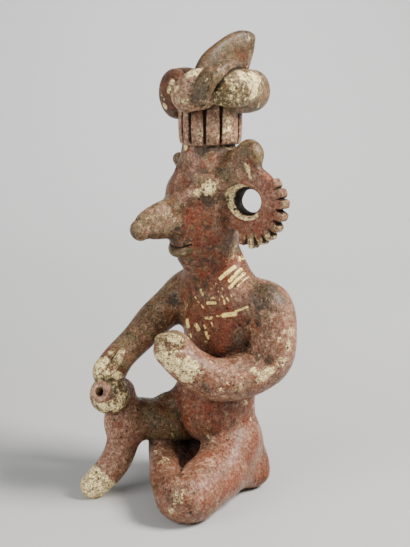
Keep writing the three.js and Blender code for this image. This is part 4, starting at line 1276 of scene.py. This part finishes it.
class FigureColours(bpy.types.PropertyGroup):
    """Colours of the clay, its slips and what lies on it."""

    body: colour_property("Body", "Burnished red-brown body", "6e3a20")
    body_dark: colour_property("Dark body", "Darker patches of the body", "3c2010")
    red: colour_property("Red", "Best kept red burnish", "72301a")
    dust: colour_property("Bloom", "Pinkish dusty bloom", "8c634e")
    dust_pale: colour_property("Pale flecks", "Pale flecks on the body", "d8b498")
    olive: colour_property("Olive", "Olive-brown patina", "6e6240")
    olive_dark: colour_property("Dark olive", "Darker olive patina", "343020")
    slip: colour_property("Slip", "Cream slip", "ffecae")
    slip_grey: colour_property("Grey slip", "Greyed and thin slip", "cca680")
    paint: colour_property("Paint", "Painted strokes of the necklace", "ffe48c")
    soot: colour_property("Soot", "Dark fire clouds and patina", "29231c")
    soot_grey: colour_property("Grey soot", "Lighter fire clouds", "483e2e")
    speck: colour_property("Specks", "Dark specks in the clay", "22120b")
    stain: colour_property("Stained slip", "Brown stains in the slip", "8f6020")
    # This colour is painted into creases and pits as their shade as well as dirt.
    hollow: colour_property("Hollows", "Dirt in creases and pits", "0c0805")


class FigureSizes(bpy.types.PropertyGroup):
    """Fineness of the figure's mesh."""

    step: bpy.props.FloatProperty(
        name="Step", description="Spacing of the clay's sampling, in millimetres",
        default=0.8, min=0.5, max=3.0)
    triangles: bpy.props.IntProperty(
        name="Triangles", description="Most triangles that the figure keeps",
        default=190000, min=10000)


class StageSettings(bpy.types.PropertyGroup):
    """Camera, light and floor."""

    distance: bpy.props.FloatProperty(
        name="Distance", description="Camera's distance from the aim",
        default=0.6618, unit="LENGTH")
    azimuth: bpy.props.FloatProperty(
        name="Azimuth", description="Camera's turn from the front to the left",
        default=math.radians(52), subtype="ANGLE")
    elevation: bpy.props.FloatProperty(
        name="Elevation", description="Camera's height as an angle",
        default=math.radians(12), subtype="ANGLE")
    lens: bpy.props.FloatProperty(
        name="Lens", description="Focal length on a 36 mm frame height, in millimetres",
        default=SENSOR_SIZE * FOCAL_PIXELS / PHOTO_HEIGHT, min=10)
    key: bpy.props.FloatProperty(
        name="Key light", description="Power of the large light from the right",
        default=42.0, unit="POWER")
    fill: bpy.props.FloatProperty(
        name="Fill light", description="Power of the light from the left",
        default=11.5, unit="POWER")
    wall: bpy.props.FloatProperty(
        name="Wall light", description="Power of the light on the backdrop",
        default=11.0, unit="POWER")
    world: bpy.props.FloatProperty(
        name="Room light", description="Strength of the even light from all sides",
        default=0.31, min=0.0)
    floor: colour_property("Floor", "Colour of the floor and backdrop", "bcbebf")


class FIGURE_OT_clay(bpy.types.Operator):
    """Model the clay figure and give it its finish"""

    bl_idname = "figure.clay"
    bl_label = "Clay Figure"

    def execute(self, context):
        sizes = context.scene.figure_sizes
        step = sizes.step
        piece = clay_mesh("clay_figure", step, sizes.triangles)
        piece.data.materials.append(fired_clay_material(context.scene.figure_colours))
        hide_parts("figure")
        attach(piece, "root")
        return {"FINISHED"}


def backdrop_mesh(low_edge=-1.1, reach=1.7, bend=1.0, wall=2.4, half_width=2.4):
    """A floor that bends up into a wall: a line, a quarter circle and a line, drawn out across the view."""
    turn = np.linspace(0, math.pi / 2, 24)
    depth = np.concatenate([[low_edge], reach - bend + bend * np.sin(turn), [reach]])
    height = np.concatenate([[0], bend - bend * np.cos(turn), [wall]])
    x, y = np.meshgrid([-half_width, half_width], depth, indexing="ij")
    z = np.broadcast_to(height, x.shape)
    points = np.stack([x, y, z], axis=-1).reshape(-1, 3)
    a = np.arange(len(depth) - 1)
    quads = np.stack([a, a + len(depth), a + len(depth) + 1, a + 1], axis=1)
    mesh = bpy.data.meshes.new("backdrop")
    mesh.from_pydata(points.tolist(), [], quads.tolist())
    mesh.shade_smooth()
    return mesh


def area_light(name, at, aim, size, power, colour=WHITE):
    """A large soft square light that faces the aim."""
    lamp = bpy.data.lights.new(name, "AREA")
    lamp.shape, lamp.size, lamp.energy, lamp.color = "SQUARE", size, power, colour
    made = bpy.data.objects.new(name, lamp)
    made.location = at
    made.rotation_euler = (Vector(aim) - Vector(at)).to_track_quat("-Z", "Y").to_euler()
    bpy.context.scene.collection.objects.link(made)
    return made


class FIGURE_OT_stage(bpy.types.Operator):
    """Set up the floor, the soft light and the camera"""

    bl_idname = "figure.stage"
    bl_label = "Stage"

    def execute(self, context):
        settings = context.scene.figure_stage
        a, e = settings.azimuth, settings.elevation
        back = Vector((math.sin(a) * math.cos(e), -math.cos(a) * math.cos(e), math.sin(e)))
        right = Vector((math.cos(a), math.sin(a), 0))
        up = back.cross(right)
        aim = Vector((-MIDDLE[0], -MIDDLE[1], AIM_HEIGHT)) / 1000
        camera_data = bpy.data.cameras.new("camera")
        camera_data.sensor_width, camera_data.lens = SENSOR_SIZE, settings.lens
        camera = bpy.data.objects.new("camera", camera_data)
        across = (AIM_ACROSS - PHOTO_WIDTH / 2) / FOCAL_PIXELS
        down = (AIM_DOWN - PHOTO_HEIGHT / 2) / FOCAL_PIXELS
        ray = -back + right * across - up * down
        camera.location = aim - ray * settings.distance
        camera.rotation_euler = back.to_track_quat("Z", "Y").to_euler()
        context.scene.collection.objects.link(camera)
        context.scene.camera = camera

        floor = bpy.data.objects.new("backdrop", backdrop_mesh())
        floor.data.transform(Matrix.Rotation(a, 4, "Z"))
        context.scene.collection.objects.link(floor)
        paper = bpy.data.materials.new("backdrop paper")
        paper.use_nodes = True
        shader = paper.node_tree.nodes["Principled BSDF"]
        shader.inputs["Base Color"].default_value = settings.floor
        shader.inputs["Roughness"].default_value = 0.9
        shader.inputs["Specular IOR Level"].default_value = 0.1
        floor.data.materials.append(paper)
        floor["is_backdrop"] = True

        def beside(across, towards, height):
            return aim + right * across + back * towards + Vector((0, 0, height))

        area_light("key light", beside(0.9, 0.28, 0.8), aim, 0.45, settings.key, KEY_COLOUR)
        area_light("fill light", beside(-0.9, 0.7, 0.35), aim, 0.9, settings.fill, FILL_COLOUR)
        wall = area_light("wall light", beside(0, -0.35, 1.1), beside(0, -1.6, 0.45), 1.0, settings.wall)
        wall.data.spread = math.radians(110)
        world = bpy.data.worlds.new("studio")
        world.use_nodes = True
        background = world.node_tree.nodes["Background"]
        background.inputs["Color"].default_value = (*WHITE, 1)
        background.inputs["Strength"].default_value = settings.world
        context.scene.world = world
        return {"FINISHED"}


class FIGURE_PT_panel(bpy.types.Panel):
    """Lists the figure's settings and the steps that make it."""

    bl_label = "Clay Figure"
    bl_idname = "FIGURE_PT_panel"
    bl_space_type = "VIEW_3D"
    bl_region_type = "UI"
    bl_category = "Clay Figure"

    def draw(self, context):
        for group in (context.scene.figure_sizes, context.scene.figure_colours, context.scene.figure_stage):
            box = self.layout.box()
            for name in group.__annotations__:
                box.prop(group, name)
        self.layout.operator(FIGURE_OT_clay.bl_idname)
        self.layout.operator(FIGURE_OT_stage.bl_idname)


CLASSES = (FigureColours, FigureSizes, StageSettings, FIGURE_OT_clay, FIGURE_OT_stage, FIGURE_PT_panel)


def register():
    for item in CLASSES:
        bpy.utils.register_class(item)
    bpy.types.Scene.figure_colours = bpy.props.PointerProperty(type=FigureColours)
    bpy.types.Scene.figure_sizes = bpy.props.PointerProperty(type=FigureSizes)
    bpy.types.Scene.figure_stage = bpy.props.PointerProperty(type=StageSettings)


def unregister():
    for name in ("figure_colours", "figure_sizes", "figure_stage"):
        delattr(bpy.types.Scene, name)
    for item in reversed(CLASSES):
        bpy.utils.unregister_class(item)


def main():
    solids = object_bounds()
    register()
    bpy.ops.figure.clay()
    bpy.ops.figure.stage()
    boxes = {"solids": solids, "visual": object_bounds()}
    {name: [[float(v) for v in corner] for corner in box] for name, box in boxes.items()}


if __name__ == "__main__":
    main()
